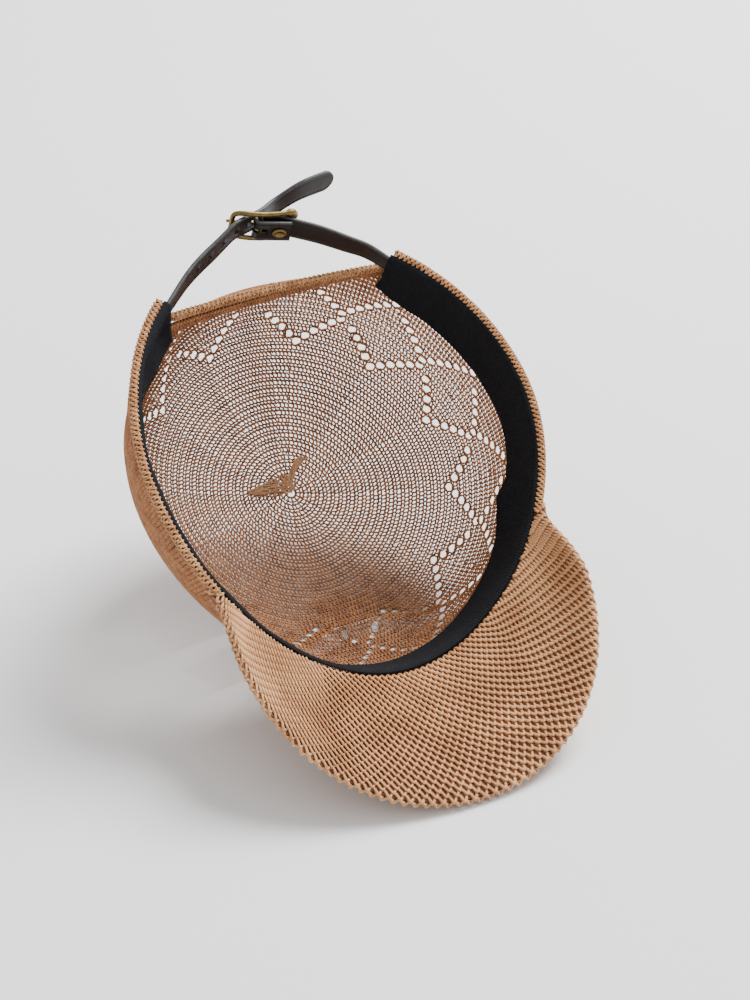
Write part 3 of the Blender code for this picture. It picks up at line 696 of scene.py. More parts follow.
print("knobbly edges")
edgeKnit = {
    "wrap": 0.0015,                     # from the core's middle to the loops that cover it
    "relief": 0.00030,
    "reliefTurn": 0.8,
    "yarn": 0.00044,
    "thin": 0.9,
    "loop": 0.0022,
    "rows": 7,                          # rows of loops round the core
    "reach": 0.60,
    "jitter": 0.06,
    "points": 7,
    "sides": 5,
    "rightEnd": 34.0,                   # the rim's roll runs from the gap to here, under the peak's ends
    "leftEnd": -214.0,
    "rimArc": 0.0012,                   # how far below the rim it lies, and how far outside the crown's face
    "rimOut": 0.0019,
    "hemArc": 0.0004,                   # the hem's roll lies above the hem by this
    "hemOut": 0.0014,
    "hemPast": 2.0,
    "pale": (0.74, 0.40, 0.19),
    "dark": (0.38, 0.16, 0.06),
    "patchSize": 260.0,
}
edgeCore = {
    "radius": 0.0011,
    "sides": 6,
    "pale": (0.10, 0.040, 0.020),
    "dark": (0.05, 0.018, 0.009),
    "patchSize": 60.0,
}


# loops in rows round a core, along a line of close points
def addRoll(tubes, cores, centre, normal):
    length = lengthAlong(centre)
    loops = int(length[-1] / edgeKnit["loop"])
    cores.add(centre, normal, edgeCore["radius"], 1.0, edgeCore["sides"])
    for row in range(edgeKnit["rows"]):
        t = np.linspace(0.0, loops, loops * edgeKnit["points"])
        phase = 2.0 * math.pi * (t + 0.5 * (row % 2))
        high = -edgeKnit["reach"] * np.cos(phase) + random.normal(0.0, edgeKnit["jitter"], len(t))
        distance = (t + random.normal(0.0, edgeKnit["jitter"], len(t))) * edgeKnit["loop"]
        face = unit(valuesAt(distance, length, normal))
        ahead = unit(valuesAt(distance, length, np.gradient(centre, axis=0)))
        side = unit(np.cross(face, ahead))
        turn = 2.0 * math.pi * (row + high) / edgeKnit["rows"]
        out = face * np.sin(turn)[:, None] + side * np.cos(turn)[:, None]
        rise = edgeKnit["wrap"] + edgeKnit["relief"] * np.cos(phase + edgeKnit["reliefTurn"])
        path = valuesAt(distance, length, centre) + out * rise[:, None]
        tubes.add(path, out, edgeKnit["yarn"], edgeKnit["thin"], edgeKnit["sides"])


def rimLine(angles, arc, out):
    arcs = np.broadcast_to(arc, angles.shape)
    normal = crownNormal(angles, np.maximum(arcs, 0.0006))
    return toRow(crownPoint(angles, arcs) + normal * out), normal @ hatAxes.T


def makeEdges():
    tubes, cores = Tubes(), Tubes()
    right, left = -90.0 + crown["gapAngle"], -90.0 - crown["gapAngle"]
    for first, last in ((right, edgeKnit["rightEnd"]), (left, edgeKnit["leftEnd"])):
        addRoll(tubes, cores, *rimLine(np.linspace(first, last, 180), edgeKnit["rimArc"], edgeKnit["rimOut"]))
    hem = np.linspace(right + edgeKnit["hemPast"], left - edgeKnit["hemPast"], 160)
    addRoll(tubes, cores, *rimLine(hem, crown["hemDepth"] - edgeKnit["hemArc"], edgeKnit["hemOut"]))
    addPiece("rim_edges", tubes.mesh("rim_edges"), yarnMaterial("edgeYarn", edgeKnit), "paper_yarn")
    addPiece("rim_core", cores.mesh("rim_core"), yarnMaterial("coreYarn", edgeCore), "paper_yarn")


makeEdges()

print("sweatband")
band = {
    "wall": 0.0009,
    "start": -51.0,                     # it runs from one side of the back gap round to the other
    "end": 231.0,
    "top": 0.0003,                      # how far below the rim it starts
    "turnedShare": 0.03,                # its first share curls over the rim
    "clearance": 0.0006,
    "inset": 0.0016,                    # how much further from the wall its lower edge stands
    "strapRoom": 0.0014,                # room for the straps' sewn ends, over sewnTurn from the gap
    "sewnTurn": 9.0,
    "sewnFade": 8.0,
    "ripple": 0.00035,
    "rippleTurns": 17.0,
    "rippleGroups": 4.3,
    "standOff": 1.6,                    # how late down the band it leaves the wall
    "columns": 240,
    "rows": 14,
    "ribs": 110.0,
    "lint": 420.0,
    "black": (0.005, 0.006, 0.008, 1.0),
    "lightTone": (0.014, 0.015, 0.018, 1.0),
}

# the band's lower edge: (angle, how far below the rim, how far it stands off the wall)
bandEdge = [
    (-51.0, 0.0252, 0.0), (-46.0, 0.0292, 0.0), (-39.0, 0.0312, 0.0), (-31.0, 0.0322, 0.0), (-20.0, 0.0314, 0.0),
    (-8.0, 0.0311, 0.0), (5.0, 0.0298, 0.0), (14.0, 0.0306, 0.0002), (21.0, 0.0312, 0.0010), (27.0, 0.0320, 0.0046),
    (32.0, 0.0312, 0.0036), (40.0, 0.0304, 0.0014), (53.0, 0.0296, 0.0006), (70.0, 0.0285, 0.0), (150.0, 0.0285, 0.0),
    (200.0, 0.0285, 0.0), (219.0, 0.0300, 0.0010), (231.0, 0.0300, 0.0004),
]


# close ribs across the band, with lint over them
def ribbonMaterial():
    made = bpy.data.materials.new("ribbon")
    made.use_nodes = True
    nodes, link = made.node_tree.nodes, made.node_tree.links.new
    shader = nodes["Principled BSDF"]
    uv = nodes.new("ShaderNodeTexCoord")
    ribs = nodes.new("ShaderNodeTexWave")
    ribs.inputs["Scale"].default_value = band["ribs"]
    ribs.inputs["Distortion"].default_value = 0.6
    link(uv.outputs["UV"], ribs.inputs["Vector"])
    lint = addNoise(made.node_tree, uv.outputs["Object"], band["lint"], 2.0)
    tone = nodes.new("ShaderNodeMix")
    tone.data_type = "RGBA"
    tone.inputs[6].default_value = band["black"]
    tone.inputs[7].default_value = band["lightTone"]
    link(lint.outputs["Fac"], tone.inputs["Factor"])
    link(tone.outputs[2], shader.inputs["Base Color"])
    bump = nodes.new("ShaderNodeBump")
    bump.inputs["Strength"].default_value = 0.35
    bump.inputs["Distance"].default_value = 0.0003
    link(ribs.outputs["Fac"], bump.inputs["Height"])
    link(bump.outputs["Normal"], shader.inputs["Normal"])
    shader.inputs["Roughness"].default_value = 0.9
    shader.inputs["Specular IOR Level"].default_value = 0.12
    return made


def makeBand():
    table = np.array(bandEdge)
    angle = np.linspace(band["start"], band["end"], band["columns"])[None, :]
    share = np.concatenate(((0.0,), np.linspace(band["turnedShare"], 1.0, band["rows"] - 1)))[:, None]
    low = np.interp(angle, table[:, 0], table[:, 1])
    off = np.interp(angle, table[:, 0], table[:, 2])
    ripple = band["ripple"] * np.sin(np.radians(angle * band["rippleTurns"]))
    ripple = ripple * np.sin(np.radians(angle * band["rippleGroups"])) * (1.0 - share)
    arc = band["top"] + (low - band["top"]) * share
    fromGap = np.minimum((angle + 90.0) % 360.0, (-90.0 - angle) % 360.0) - crown["gapAngle"]
    room = band["strapRoom"] * (1.0 - ease((fromGap - band["sewnTurn"]) / band["sewnFade"]))
    topped = ease(share / band["turnedShare"])
    clearance = band["clearance"] * (2.0 * topped - 1.0) + band["inset"] * share
    clearance = clearance + (room + ripple) * topped + off * share ** band["standOff"]
    angle, arc = np.broadcast_arrays(angle, arc)
    rows = toRow(crownPoint(angle, arc) - outward(angle) * clearance[..., None])
    mesh = sheetMesh("sweatband_ribbon", rows, band["wall"], -outward(angle) @ hatAxes.T)
    piece = addPiece("sweatband_ribbon", mesh, ribbonMaterial(), "black_ribbon", "sweatband")


makeBand()

print("straps")
strap = {
    "width": 0.0102,
    "wall": 0.0018,
    "rise": 0.0064,                     # how deep its middle lies below the opening
    "step": 0.0006,
    "seatGap": 0.0003,
    "slitLong": 0.0024,
    "pinnedSlit": 2.2,                  # the slit on the pin is pulled this much longer
    "slitGap": 0.0090,
    "slits": 4,
    "tabWall": 0.0016,
    "tabLength": 0.0136,
    "tabStart": 0.0015,
    "tabSpread": 0.0085,
    "dip": 0.0034,                      # it passes under the buckle's left side by this, then climbs
    "climbStart": 0.0050,
    "climb": 0.0022,
    "crest": 0.0010,
    "crestRoom": 0.0012,
    "leave": 0.0085,
    "leaveRise": 0.0135,
    "leaveLean": 1.1,
    "evenLength": 0.0180,               # twist, and the way before the buckle, are evened out over this each way
    "evenFade": 0.0140,
    "sewn": (9.0, 4.5, 0.0),            # stations past the gap where the end is sewn in
    "tip": 0.985,                       # how blunt the round tip's last ring is
}

# the straps' ways behind the hat: (share of the rim's half width, share of its back reach, lean to the buckle's)
leftWay = [(-0.4294, -0.890, 1.1), (-0.2824, -0.966, 1.35)]
rightWay = [(0.5353, -0.832, 0.1), (0.4412, -0.888, 0.5), (0.3176, -0.958, 0.9)]
freeWay = [(0.3059, -1.190, 1.3), (0.5050, -1.222, 1.4)]

# half of the strap's section: (share of the width, share of the thickness), from one edge to the other
strapFace = [
    (-0.500, 0.20), (-0.485, 0.40), (-0.455, 0.50), (-0.405, 0.50), (-0.375, 0.36), (-0.340, 0.42),
    (-0.140, 0.46), (0.140, 0.46), (0.340, 0.42), (0.375, 0.36), (0.405, 0.50), (0.455, 0.50), (0.485, 0.40), (0.500, 0.20),
]

buckle = {
    "turn": 13.0,
    "lean": 18.0,
    "place": (0.0188, -1.049),          # shares of the rim's half width and back reach
    "wire": 0.0024,
    "wireThin": 0.9,
    "bar": 0.42,                        # the middle bar's radius, in wires
    "squareness": 0.36,                 # less is squarer
    "leftReach": 0.0125,
    "rightReach": 0.0152,
    "leftRise": 0.0018,
    "rightRise": 0.0032,
    "sideRoom": 0.0004,
    "shift": 0.0004,
    "prong": 0.0014,
    "overhang": 0.0018,
    "knob": 1.75,                       # the wire is thicker at its far top corner
    "knobFrom": 1.6,
    "knobSize": 0.0030,
}

buckleTurn = math.radians(buckle["turn"])
buckleLean = math.radians(buckle["lean"])
alongBuckle = np.array((math.cos(buckleTurn), math.sin(buckleTurn), 0.0))
inwardBuckle = np.array((-math.sin(buckleTurn), math.cos(buckleTurn), 0.0))
upright = np.array((0.0, 0.0, 1.0))
acrossBuckle = upright * math.cos(buckleLean) + inwardBuckle * math.sin(buckleLean)
outBuckle = upright * math.sin(buckleLean) - inwardBuckle * math.cos(buckleLean)


def behindRim(wide, long):
    return np.array((wide * hat["halfWidth"], long * hat["backReach"], strap["rise"]))


buckleMiddle = behindRim(*buckle["place"])


def atBuckle(along, out):
    return buckleMiddle + alongBuckle * along + outBuckle * out


def leaning(share):
    return upright * (1.0 - share) + acrossBuckle * share


def wayPoints(way):
    return [(behindRim(wide, long), leaning(lean)) for wide, long, lean in way]


# the end that is sewn in between the crown and the band
def sewnEnd(side):
    points = []
    for extra in strap["sewn"]:
        angle = -90.0 + side * (crown["gapAngle"] + extra)
        low = freeCrownPoint(angle, 0.0)
        high = freeCrownPoint(angle, crown["hemDepth"])
        place = low + (high - low) * strap["rise"] / crown["hemDepth"]
        points.append((place - outward(angle) * (strap["seatGap"] + 0.5 * strap["wall"]), unit(high - low)))
    return points


# close stations on a smooth curve through (place, across) pairs
def curveThrough(guide):
    places = np.array([place for place, _ in guide])
    acrosses = np.array([across for _, across in guide])
    found = []
    u = np.linspace(0.0, 1.0, 16, endpoint=False)[:, None]
    for points in (places, acrosses):
        padded = np.concatenate((points[:1], points, points[-1:]))
        parts = []
        for i in range(len(points) - 1):
            a, b, c, d = padded[i:i + 4]
            square, cube = 2.0 * a - 5.0 * b + 4.0 * c - d, 3.0 * b - a - 3.0 * c + d
            parts.append(0.5 * (2.0 * b + (c - a) * u + square * u ** 2 + cube * u ** 3))
        found.append(np.concatenate(parts + [points[-1:]]))
    return found


def evened(values, step):
    reach = int(round(strap["evenLength"] / step))
    padded = np.pad(values, ((reach, reach), (0, 0)), mode="reflect", reflect_type="odd")
    window = np.hanning(2 * reach + 1)
    return np.stack([np.convolve(padded[:, i], window / window.sum(), "valid") for i in range(3)], -1)


def evenly(places, acrosses, step):
    length = lengthAlong(places)
    at = np.linspace(0.0, length[-1], int(length[-1] / step) + 1)
    return valuesAt(at, length, places), unit(evened(valuesAt(at, length, acrosses), step)), at


# a strap along its stations; holes are pairs of stations between which its middle is open
def strapMesh(name, places, acrosses, wall, holes=(), roundTip=False):
    ahead = unit(np.gradient(places, axis=0))
    out = unit(np.cross(ahead, acrosses))
    face = np.array(strapFace)
    wide = np.concatenate((face[:, 0], face[::-1, 0]))
    high = np.concatenate((face[:, 1], -face[::-1, 1]))
    sides = len(wide)
    length = lengthAlong(places)
    narrow = np.ones(len(places))
    if roundTip:
        radius = 0.5 * strap["width"]
        into = np.clip((length - (length[-1] - radius)) / radius, 0.0, strap["tip"])
        narrow = np.sqrt(1.0 - into ** 2)
    half = wide[None, :, None] * strap["width"] * narrow[:, None, None]
    points = places[:, None, :] + acrosses[:, None, :] * half + out[:, None, :] * (high * wall)[None, :, None]
    keep = np.ones((len(places) - 1, sides), bool)
    middleTop = len(face) // 2 - 1
    middleUnder = sides - len(face) // 2 - 1
    for first, last in holes:
        keep[first:last, middleTop] = False
        keep[first:last, middleUnder] = False
    index = np.arange(len(places) * sides).reshape(len(places), sides)
    after = np.roll(index, -1, axis=1)
    quads = np.stack((index[:-1], after[:-1], after[1:], index[1:]), -1)[keep]
    top, under = index[:, middleTop:middleTop + 2], index[:, middleUnder:middleUnder + 2]
    extra = []
    for first, last in holes:
        for i in range(first, last):
            extra.append((top[i, 0], top[i + 1, 0], under[i + 1, 1], under[i, 1]))
            extra.append((top[i + 1, 1], top[i, 1], under[i, 0], under[i + 1, 0]))
        extra.append((top[first, 1], top[first, 0], under[first, 1], under[first, 0]))
        extra.append((top[last, 0], top[last, 1], under[last, 0], under[last, 1]))
    for ring in (0, len(places) - 1):
        for i in range(len(face) - 1):
            corners = (index[ring, i], index[ring, i + 1], index[ring, sides - 2 - i], index[ring, sides - 1 - i])
            extra.append(corners if ring == 0 else corners[::-1])
    uv = np.stack(np.broadcast_arrays(length[:, None] * uvPerMetre, wide[None, :]), -1).reshape(-1, 2)
    return makeMesh(name, toRow(points.reshape(-1, 3)), np.concatenate((quads, np.array(extra))), uv)


leather = {
    "face": (0.010, 0.008, 0.008, 1.0),
    # painted highlight: the paler grey that light gives the strap's bevelled edges
    "lightTone": (0.080, 0.077, 0.080, 1.0),
    "grain": 1500.0,
    "creases": 260.0,
    "highlightFrom": 0.36,                   # share of the width from the middle, over which the painted highlight along the bevelled edges fades in
    "highlightTo": 0.47,
    "smooth": 0.36,                     # roughness between creases, and in them
    "rough": 0.58,
    "specular": 0.36,
    "bump": 0.4,
    "bumpDepth": 0.0002,
}


# fine grain, faint creases, and a painted highlight along the bevelled edges, broken into patches by the creases
def makeLeather():
    group, start, end = nodeGroup(
        "strapGrain",
        [("Face", "NodeSocketColor", leather["face"]), ("Edge Highlight", "NodeSocketColor", leather["lightTone"])],
        [("Color", "NodeSocketColor"), ("Height", "NodeSocketFloat"), ("Roughness", "NodeSocketFloat")],
    )
    nodes, link = group.nodes, group.links.new
    uv = nodes.new("ShaderNodeTexCoord")
    grain = addNoise(group, uv.outputs["Object"], leather["grain"], 4.0)
    creases = addNoise(group, uv.outputs["Object"], leather["creases"], 2.0)
    parts = nodes.new("ShaderNodeSeparateXYZ")
    link(uv.outputs["UV"], parts.inputs["Vector"])
    side = nodes.new("ShaderNodeMath")
    side.operation = "ABSOLUTE"
    link(parts.outputs["Y"], side.inputs[0])
    # mask of the painted highlight along the strap's edges
    lightTone = nodes.new("ShaderNodeMapRange")
    lightTone.inputs["From Min"].default_value = leather["highlightFrom"]
    lightTone.inputs["From Max"].default_value = leather["highlightTo"]
    link(side.outputs[0], lightTone.inputs["Value"])
    patchy = nodes.new("ShaderNodeMath")
    patchy.operation = "MULTIPLY"
    link(lightTone.outputs["Result"], patchy.inputs[0])
    link(creases.outputs["Fac"], patchy.inputs[1])
    link(addMix(group, patchy.outputs[0], start.outputs["Face"], start.outputs["Edge Highlight"]), end.inputs["Color"])
    link(grain.outputs["Fac"], end.inputs["Height"])
    rough = nodes.new("ShaderNodeMapRange")
    rough.inputs["To Min"].default_value = leather["smooth"]
    rough.inputs["To Max"].default_value = leather["rough"]
    link(creases.outputs["Fac"], rough.inputs["Value"])
    link(rough.outputs["Result"], end.inputs["Roughness"])
    return group


leatherLook = lookFrom(
    "darkLeather", makeLeather(), {"Face": leather["face"], "Edge Highlight": leather["lightTone"]},
    leather["bump"], leather["bumpDepth"], specular=leather["specular"],
)


# how far out from the middle bar the pin lies, at the bar and where it rests on the frame
def prongLine():
    eye = 0.5 * buckle["wire"] + strap["seatGap"] + 0.5 * buckle["prong"]
    return eye, buckle["leftRise"] + eye


def makeLongStrap():
    fold = 0.5 * buckle["wire"] + strap["seatGap"] + strap["tabWall"]
    crest = fold + strap["seatGap"] + strap["wall"] + strap["crestRoom"]
    guide = sewnEnd(-1.0) + wayPoints(leftWay)
    guide.append((atBuckle(-buckle["leftReach"], -strap["dip"]), acrossBuckle))
    guide.append((atBuckle(-strap["climbStart"], strap["climb"]), acrossBuckle))
    guide.append((atBuckle(strap["crest"], crest), acrossBuckle))
    guide.append((atBuckle(strap["leave"], strap["leaveRise"]), leaning(strap["leaveLean"])))
    guide += wayPoints(freeWay)
    places, acrosses, at = evenly(*curveThrough(guide), strap["step"])
    before = -((places - buckleMiddle) @ alongBuckle) - buckle["leftReach"]
    loose = np.clip(before / strap["evenFade"], 0.0, 1.0)[:, None]
    places = places + (evened(places, strap["step"]) - places) * loose
    local = places - buckleMiddle
    eye, rest = prongLine()
    pin = eye + (rest - eye) * np.clip(-(local @ alongBuckle) / buckle["leftReach"], 0.0, 1.0)
    crossing = at[np.argmax(local @ outBuckle >= pin)]
    holes = []
    for number in range(strap["slits"] + 1):
        long = strap["slitLong"] * (strap["pinnedSlit"] if number == 0 else 1.0)
        middle = crossing - number * strap["slitGap"]
        first = int(round((middle - 0.5 * long) / strap["step"]))
        holes.append((first, first + int(round(long / strap["step"]))))
    mesh = strapMesh("long_strap", places, acrosses, strap["wall"], holes, roundTip=True)
    addPiece("long_strap", mesh, leatherLook, "dark_leather", "strap_long")


# folded round the middle bar, with its end as a tab underneath; gives how far off the bar's middle it lies
def makeShortStrap():
    leg = 0.5 * buckle["wire"] + strap["seatGap"] + 0.5 * strap["tabWall"]
    guide = sewnEnd(1.0) + wayPoints(rightWay)
    guide.append((atBuckle(buckle["rightReach"], 0.0), acrossBuckle))
    guide.append((atBuckle(strap["tabSpread"], leg), acrossBuckle))
    guide.append((atBuckle(strap["tabStart"], leg), acrossBuckle))
    places, acrosses, _ = evenly(*curveThrough(guide), strap["step"])
    turn = np.radians(np.linspace(80.0, -80.0, 13))[:, None]
    fold = buckleMiddle - alongBuckle * leg * np.cos(turn) + outBuckle * leg * np.sin(turn)
    tab = np.linspace(strap["tabStart"], strap["tabLength"], 16)[:, None]
    under = buckleMiddle + alongBuckle * tab - outBuckle * leg
    first = len(places)
    places = np.concatenate((places, fold, under))
    acrosses = np.concatenate((acrosses, np.tile(acrossBuckle, (len(fold) + len(under), 1))))
    mesh = strapMesh("short_strap", places, acrosses, strap["tabWall"], [(first - 1, first + len(fold) + 2)])
    addPiece("short_strap", mesh, leatherLook, "dark_leather", "strap_short")
    return leg


brass = {
    "bright": (0.30, 0.21, 0.075, 1.0),
    "aged": (0.07, 0.05, 0.02, 1.0),
    "spots": 420.0,
    "scratches": 2400.0,
    "agedRough": 0.52,
    "brightRough": 0.30,
    "bump": 0.25,
    "bumpDepth": 0.0002,
}


# brass gone brown in the hollows, with fine scratches
def makePatina():
    group, start, end = nodeGroup(
        "brassPatina",
        [("Bright", "NodeSocketColor", brass["bright"]), ("Aged", "NodeSocketColor", brass["aged"])],
        [("Color", "NodeSocketColor"), ("Height", "NodeSocketFloat"), ("Roughness", "NodeSocketFloat")],
    )
    nodes, link = group.nodes, group.links.new
    place = nodes.new("ShaderNodeTexCoord")
    spots = addNoise(group, place.outputs["Object"], brass["spots"], 5.0)
    scratches = addNoise(group, place.outputs["Object"], brass["scratches"], 2.0)
    rough = nodes.new("ShaderNodeMapRange")
    rough.inputs["To Min"].default_value = brass["agedRough"]
    rough.inputs["To Max"].default_value = brass["brightRough"]
    link(spots.outputs["Fac"], rough.inputs["Value"])
    link(addMix(group, spots.outputs["Fac"], start.outputs["Aged"], start.outputs["Bright"]), end.inputs["Color"])
    link(scratches.outputs["Fac"], end.inputs["Height"])
    link(rough.outputs["Result"], end.inputs["Roughness"])
    return group


brassLook = lookFrom(
    "oldBrass", makePatina(), {"Bright": brass["bright"], "Aged": brass["aged"]},
    brass["bump"], brass["bumpDepth"], metallic=1.0,
)


def makeBuckle():
    halfHeight = 0.5 * strap["width"] + buckle["sideRoom"] + 0.5 * buckle["wire"]
    middle = 0.5 * (buckle["rightReach"] - buckle["leftReach"])
    halfLength = 0.5 * (buckle["rightReach"] + buckle["leftReach"])
    turn = 2.0 * math.pi * np.arange(120) / 120
    along = middle + halfLength * powered(np.cos(turn), buckle["squareness"])
    across = halfHeight * powered(np.sin(turn), buckle["squareness"]) - buckle["shift"]
    left = buckle["leftRise"] * (along / buckle["leftReach"]) ** 2
    right = buckle["rightRise"] * (along / buckle["rightReach"]) ** 2
    out = np.where(along < 0.0, left, right)
    places = buckleMiddle + along[:, None] * alongBuckle + out[:, None] * outBuckle + across[:, None] * acrossBuckle
    corner = np.hypot(along - buckle["rightReach"], across + halfHeight)
    thicker = (buckle["knob"] - 1.0) * ease(buckle["knobFrom"] - corner / buckle["knobSize"])
    tubes = Tubes()
    facing = np.tile(outBuckle @ hatAxes.T, (len(places), 1))
    tubes.add(toRow(places), facing, 0.5 * buckle["wire"] * (1.0 + thicker), buckle["wireThin"], 12, closed=True)
    bar = buckleMiddle + np.linspace(-halfHeight, halfHeight, 8)[:, None] * acrossBuckle
    tubes.add(toRow(bar), facing[:8], buckle["bar"] * buckle["wire"], 1.0, 12)
    addPiece("buckle_ring", tubes.mesh("buckle_ring"), brassLook, "old_brass", "buckle_frame")


# hooked round the middle bar, through the strap and over the frame's left side
def makePin():
    eye, rest = prongLine()
    bend = np.radians(np.linspace(-70.0, 90.0, 17))[:, None]
    pin = [buckleMiddle - alongBuckle * eye * np.cos(bend) + outBuckle * eye * np.sin(bend)]
    pin.append(atBuckle(-0.5 * buckle["leftReach"], 0.5 * (eye + rest))[None, :])
    pin.append(atBuckle(-buckle["leftReach"], rest)[None, :])
    pin.append(atBuckle(-buckle["leftReach"] - buckle["overhang"], rest)[None, :])
    pin = toRow(np.concatenate(pin))
    tubes = Tubes()
    tubes.add(pin, np.tile(acrossBuckle @ hatAxes.T, (len(pin), 1)), 0.5 * buckle["prong"], 1.0, 10)
    addPiece("buckle_pin", tubes.mesh("buckle_pin"), brassLook, "old_brass", "buckle_prong")


rivet = {
    "radius": 0.0028,
    "height": 0.0012,
    "place": 0.6,                       # share of the tab's length
    "long": 1.2,                        # pressed oval: along the strap, and across it
    "wide": 0.8,
    "count": 36,
}

# the rivet's profile: (share of its radius, share of its height)
rivetProfile = [
    (0.02, 0.35), (0.30, 0.42), (0.52, 0.55), (0.66, 0.95), (0.80, 1.0), (0.93, 0.75), (1.0, 0.3), (1.0, 0.0), (0.02, 0.0),
]


def makeRivet(leg):
    turn = 2.0 * math.pi * np.arange(rivet["count"]) / rivet["count"]
    base = atBuckle(rivet["place"] * strap["tabLength"], -(leg + 0.5 * strap["tabWall"] + strap["seatGap"]))
    table = np.array(rivetProfile)
    reach = rivet["radius"] * table[:, 0][:, None, None]
    ring = rivet["long"] * alongBuckle * np.cos(turn)[:, None] + rivet["wide"] * acrossBuckle * np.sin(turn)[:, None]
    points = base + reach * ring[None] - outBuckle * (rivet["height"] * table[:, 1])[:, None, None]
    rows, count = len(table), len(turn)
    index = np.arange(rows * count).reshape(rows, count)
    after = np.roll(index, -1, axis=1)
    quads = np.stack((index[:-1], after[:-1], after[1:], index[1:]), -1).reshape(-1, 4)
    top, low = index[0], index[-1]
    caps = [(top[i], top[i + 1], top[-2 - i], top[-1 - i]) for i in range(count // 2 - 1)]
    caps += [(low[-1 - i], low[-2 - i], low[i + 1], low[i]) for i in range(count // 2 - 1)]
    mesh = makeMesh("rivet", toRow(points.reshape(-1, 3)), np.concatenate((quads, np.array(caps))))
    addPiece("rivet", mesh, brassLook, "old_brass", "tab_rivet")


makeLongStrap()
tabLeg = makeShortStrap()
makeBuckle()
makePin()
makeRivet(tabLeg)

print("closing patch")
patch = {
    "lift": 0.0016,                     # how far it lies below the crown's top, inside
    "yarn": 0.00046,
    "thin": 0.7,
    "sides": 5,
    "points": 26,
    "wave": 0.00035,
    "strands": 34,                      # across the fan
    "fanDepth": 0.0007,
    "fanBow": 0.0016,
    "cordStrands": 7,                   # along it, over the others
    "cordDepth": 0.0013,
    "cordSpread": 0.0050,
    "cordWave": 0.0002,
    "tailStrands": 6,                   # in the tail that leaves it
    "tailYarn": 0.00042,
    "tailThin": 0.8,
    "tailDepth": 0.0010,
    "tailSpread": 0.0026,
    "tailWave": 0.0003,
    "pale": (0.66, 0.38, 0.20),
    "dark": (0.42, 0.21, 0.10),
    "patchSize": 300.0,
}

# lines in the crown's plan: where the fan's strands start and end, the cord over them, and the tail
fanEdge = [(-0.0150, -0.0183), (-0.0119, -0.0162), (-0.0056, -0.0138), (0.0022, -0.0132), (0.0070, -0.0146)]
fanFar = [
    (-0.0150, -0.0190), (-0.0107, -0.0192), (-0.0071, -0.0204), (-0.0014, -0.0226), (0.0046, -0.0236), (0.0072, -0.0212),
]
cordWay = [(-0.0150, -0.0186), (-0.0050, -0.0180), (0.0030, -0.0176), (0.0056, -0.0186)]
tailWay = [(0.0052, -0.0180), (0.0078, -0.0214), (0.0104, -0.0250), (0.0138, -0.0280), (0.0172, -0.0290)]
tailSide = np.array((0.65, 0.55))


def alongTable(table, share):
    table = np.array(table)
    place = np.linspace(0.0, 1.0, len(table))
    return np.stack((np.interp(share, place, table[:, 0]), np.interp(share, place, table[:, 1])), -1)


def makePatch():
    tubes = Tubes()
    u = np.linspace(0.0, 1.0, patch["points"])
    top = crown["depth"] - patch["lift"]
    facing = np.tile(-hatAxes[:, 2], (patch["points"], 1))

    def lay(line, depth, yarn, thin):
        tubes.add(toRow(np.concatenate((line, depth[:, None]), axis=1)), facing, yarn, thin, patch["sides"])

    for strand in range(patch["strands"]):
        share = strand / (patch["strands"] - 1.0)
        near, far = alongTable(fanEdge, share), alongTable(fanFar, share)
        line = near + (far - near) * u[:, None]
        line[:, 0] += patch["wave"] * 2.0 * np.sin(9.0 * u + 2.4 * strand) + patch["fanBow"] * u * (1.0 - u)
        line[:, 1] += patch["wave"] * np.cos(7.0 * u + 1.7 * strand)
        lay(line, top - patch["fanDepth"] - patch["wave"] * np.sin(11.0 * u + strand), patch["yarn"], patch["thin"])
    for strand in range(patch["cordStrands"]):
        share = strand / (patch["cordStrands"] - 1.0)
        line = alongTable(cordWay, u)
        line[:, 1] += (share - 0.5) * patch["cordSpread"] * np.sin(math.pi * np.clip(u + 0.06, 0, 1))
        line[:, 1] += patch["wave"] * np.sin(13.0 * u + 2.0 * strand)
        lay(line, top - patch["cordDepth"] - patch["cordWave"] * np.sin(9 * u + strand), patch["yarn"], patch["thin"])
    for strand in range(patch["tailStrands"]):
        offset = (strand / (patch["tailStrands"] - 1.0) - 0.5) * patch["tailSpread"]
        sway = offset * (0.8 + 0.5 * u) + 0.0002 * np.sin(16.0 * u + 2.0 * strand)
        line = alongTable(tailWay, u) + tailSide * sway[:, None]
        depth = top - patch["tailDepth"] - patch["tailWave"] * np.cos(8 * u + strand)
        lay(line, depth, patch["tailYarn"], patch["tailThin"])
    look = yarnMaterial("patchYarn", patch)
    addPiece("patch_strands", tubes.mesh("patch_strands"), look, "patch_yarn", "closing_patch")


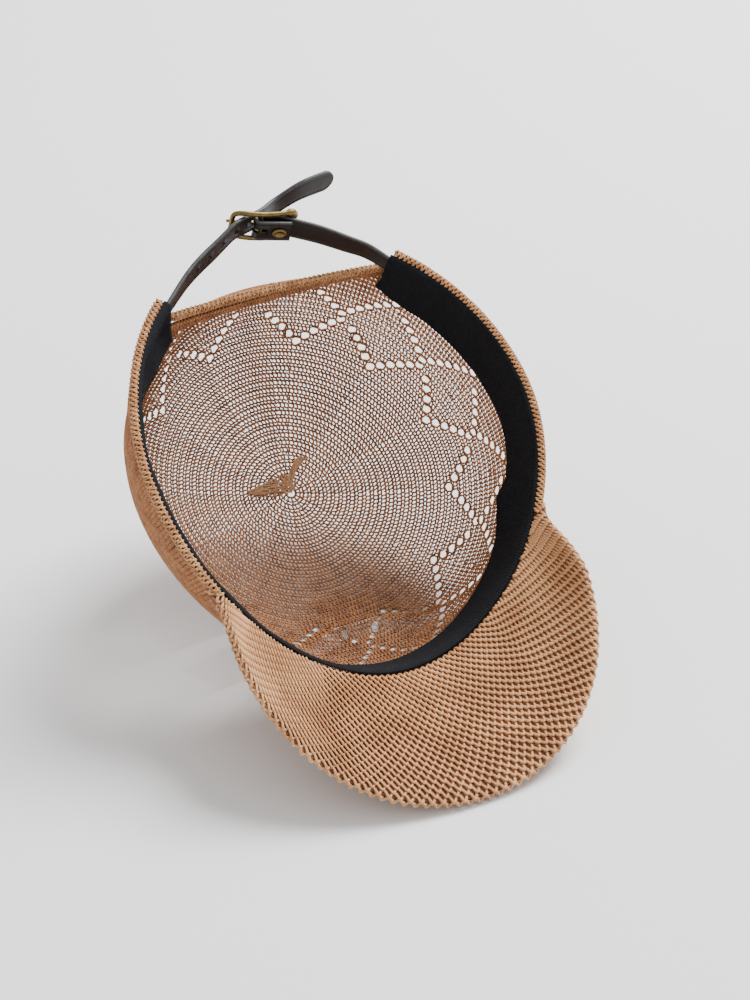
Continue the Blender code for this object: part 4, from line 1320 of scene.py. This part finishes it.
makePatch()

print("camera and studio")
view = {
    "azimuth": -25.67,
    "elevation": 31.85,
    "distance": 0.849,
    "lens": 71.0,                       # millimetres, as is the sensor
    "sensor": 36.0,
    "target": (0.0152, 0.0, -0.0370),   # from the hat's place
}
studio = {
    "floorSize": 8.0,
    "floor": (0.90, 0.90, 0.90, 1.0),
    "floorRoughness": 0.9,
    "sky": 0.86,
    "key": 165.0,
    "keySize": 1.5,
    "keyPlace": (1.6, 0.6, 2.2),
}

azimuth = math.radians(view["azimuth"])
elevation = math.radians(view["elevation"])
back = Vector((
    math.sin(azimuth) * math.cos(elevation),
    -math.cos(azimuth) * math.cos(elevation),
    math.sin(elevation),
))
target = Vector(view["target"]) + Vector(hat["place"])
cameraData = bpy.data.cameras.new("camera")
cameraData.lens = view["lens"]
cameraData.sensor_width = view["sensor"]
camera = bpy.data.objects.new("camera", cameraData)
camera.location = target + back * view["distance"]
camera.rotation_euler = back.to_track_quat("Z", "Y").to_euler()
bpy.context.scene.collection.objects.link(camera)
bpy.context.scene.camera = camera

bpy.ops.mesh.primitive_plane_add(size=studio["floorSize"])
floor = bpy.context.active_object
floor.name = "floor"
floorLook = bpy.data.materials.new("floor")
floorLook.use_nodes = True
floorLook.node_tree.nodes["Principled BSDF"].inputs["Base Color"].default_value = studio["floor"]
floorLook.node_tree.nodes["Principled BSDF"].inputs["Roughness"].default_value = studio["floorRoughness"]
floor.data.materials.append(floorLook)

world = bpy.data.worlds.new("studio")
bpy.context.scene.world = world
world.use_nodes = True
world.node_tree.nodes["Background"].inputs["Color"].default_value = (1.0, 1.0, 1.0, 1.0)
world.node_tree.nodes["Background"].inputs["Strength"].default_value = studio["sky"]
key = bpy.data.lights.new("key", "AREA")
key.energy = studio["key"]
key.size = studio["keySize"]
keyObject = bpy.data.objects.new("key", key)
keyObject.location = studio["keyPlace"]
keyObject.rotation_euler = Vector(keyObject.location).to_track_quat("Z", "Y").to_euler()
bpy.context.scene.collection.objects.link(keyObject)
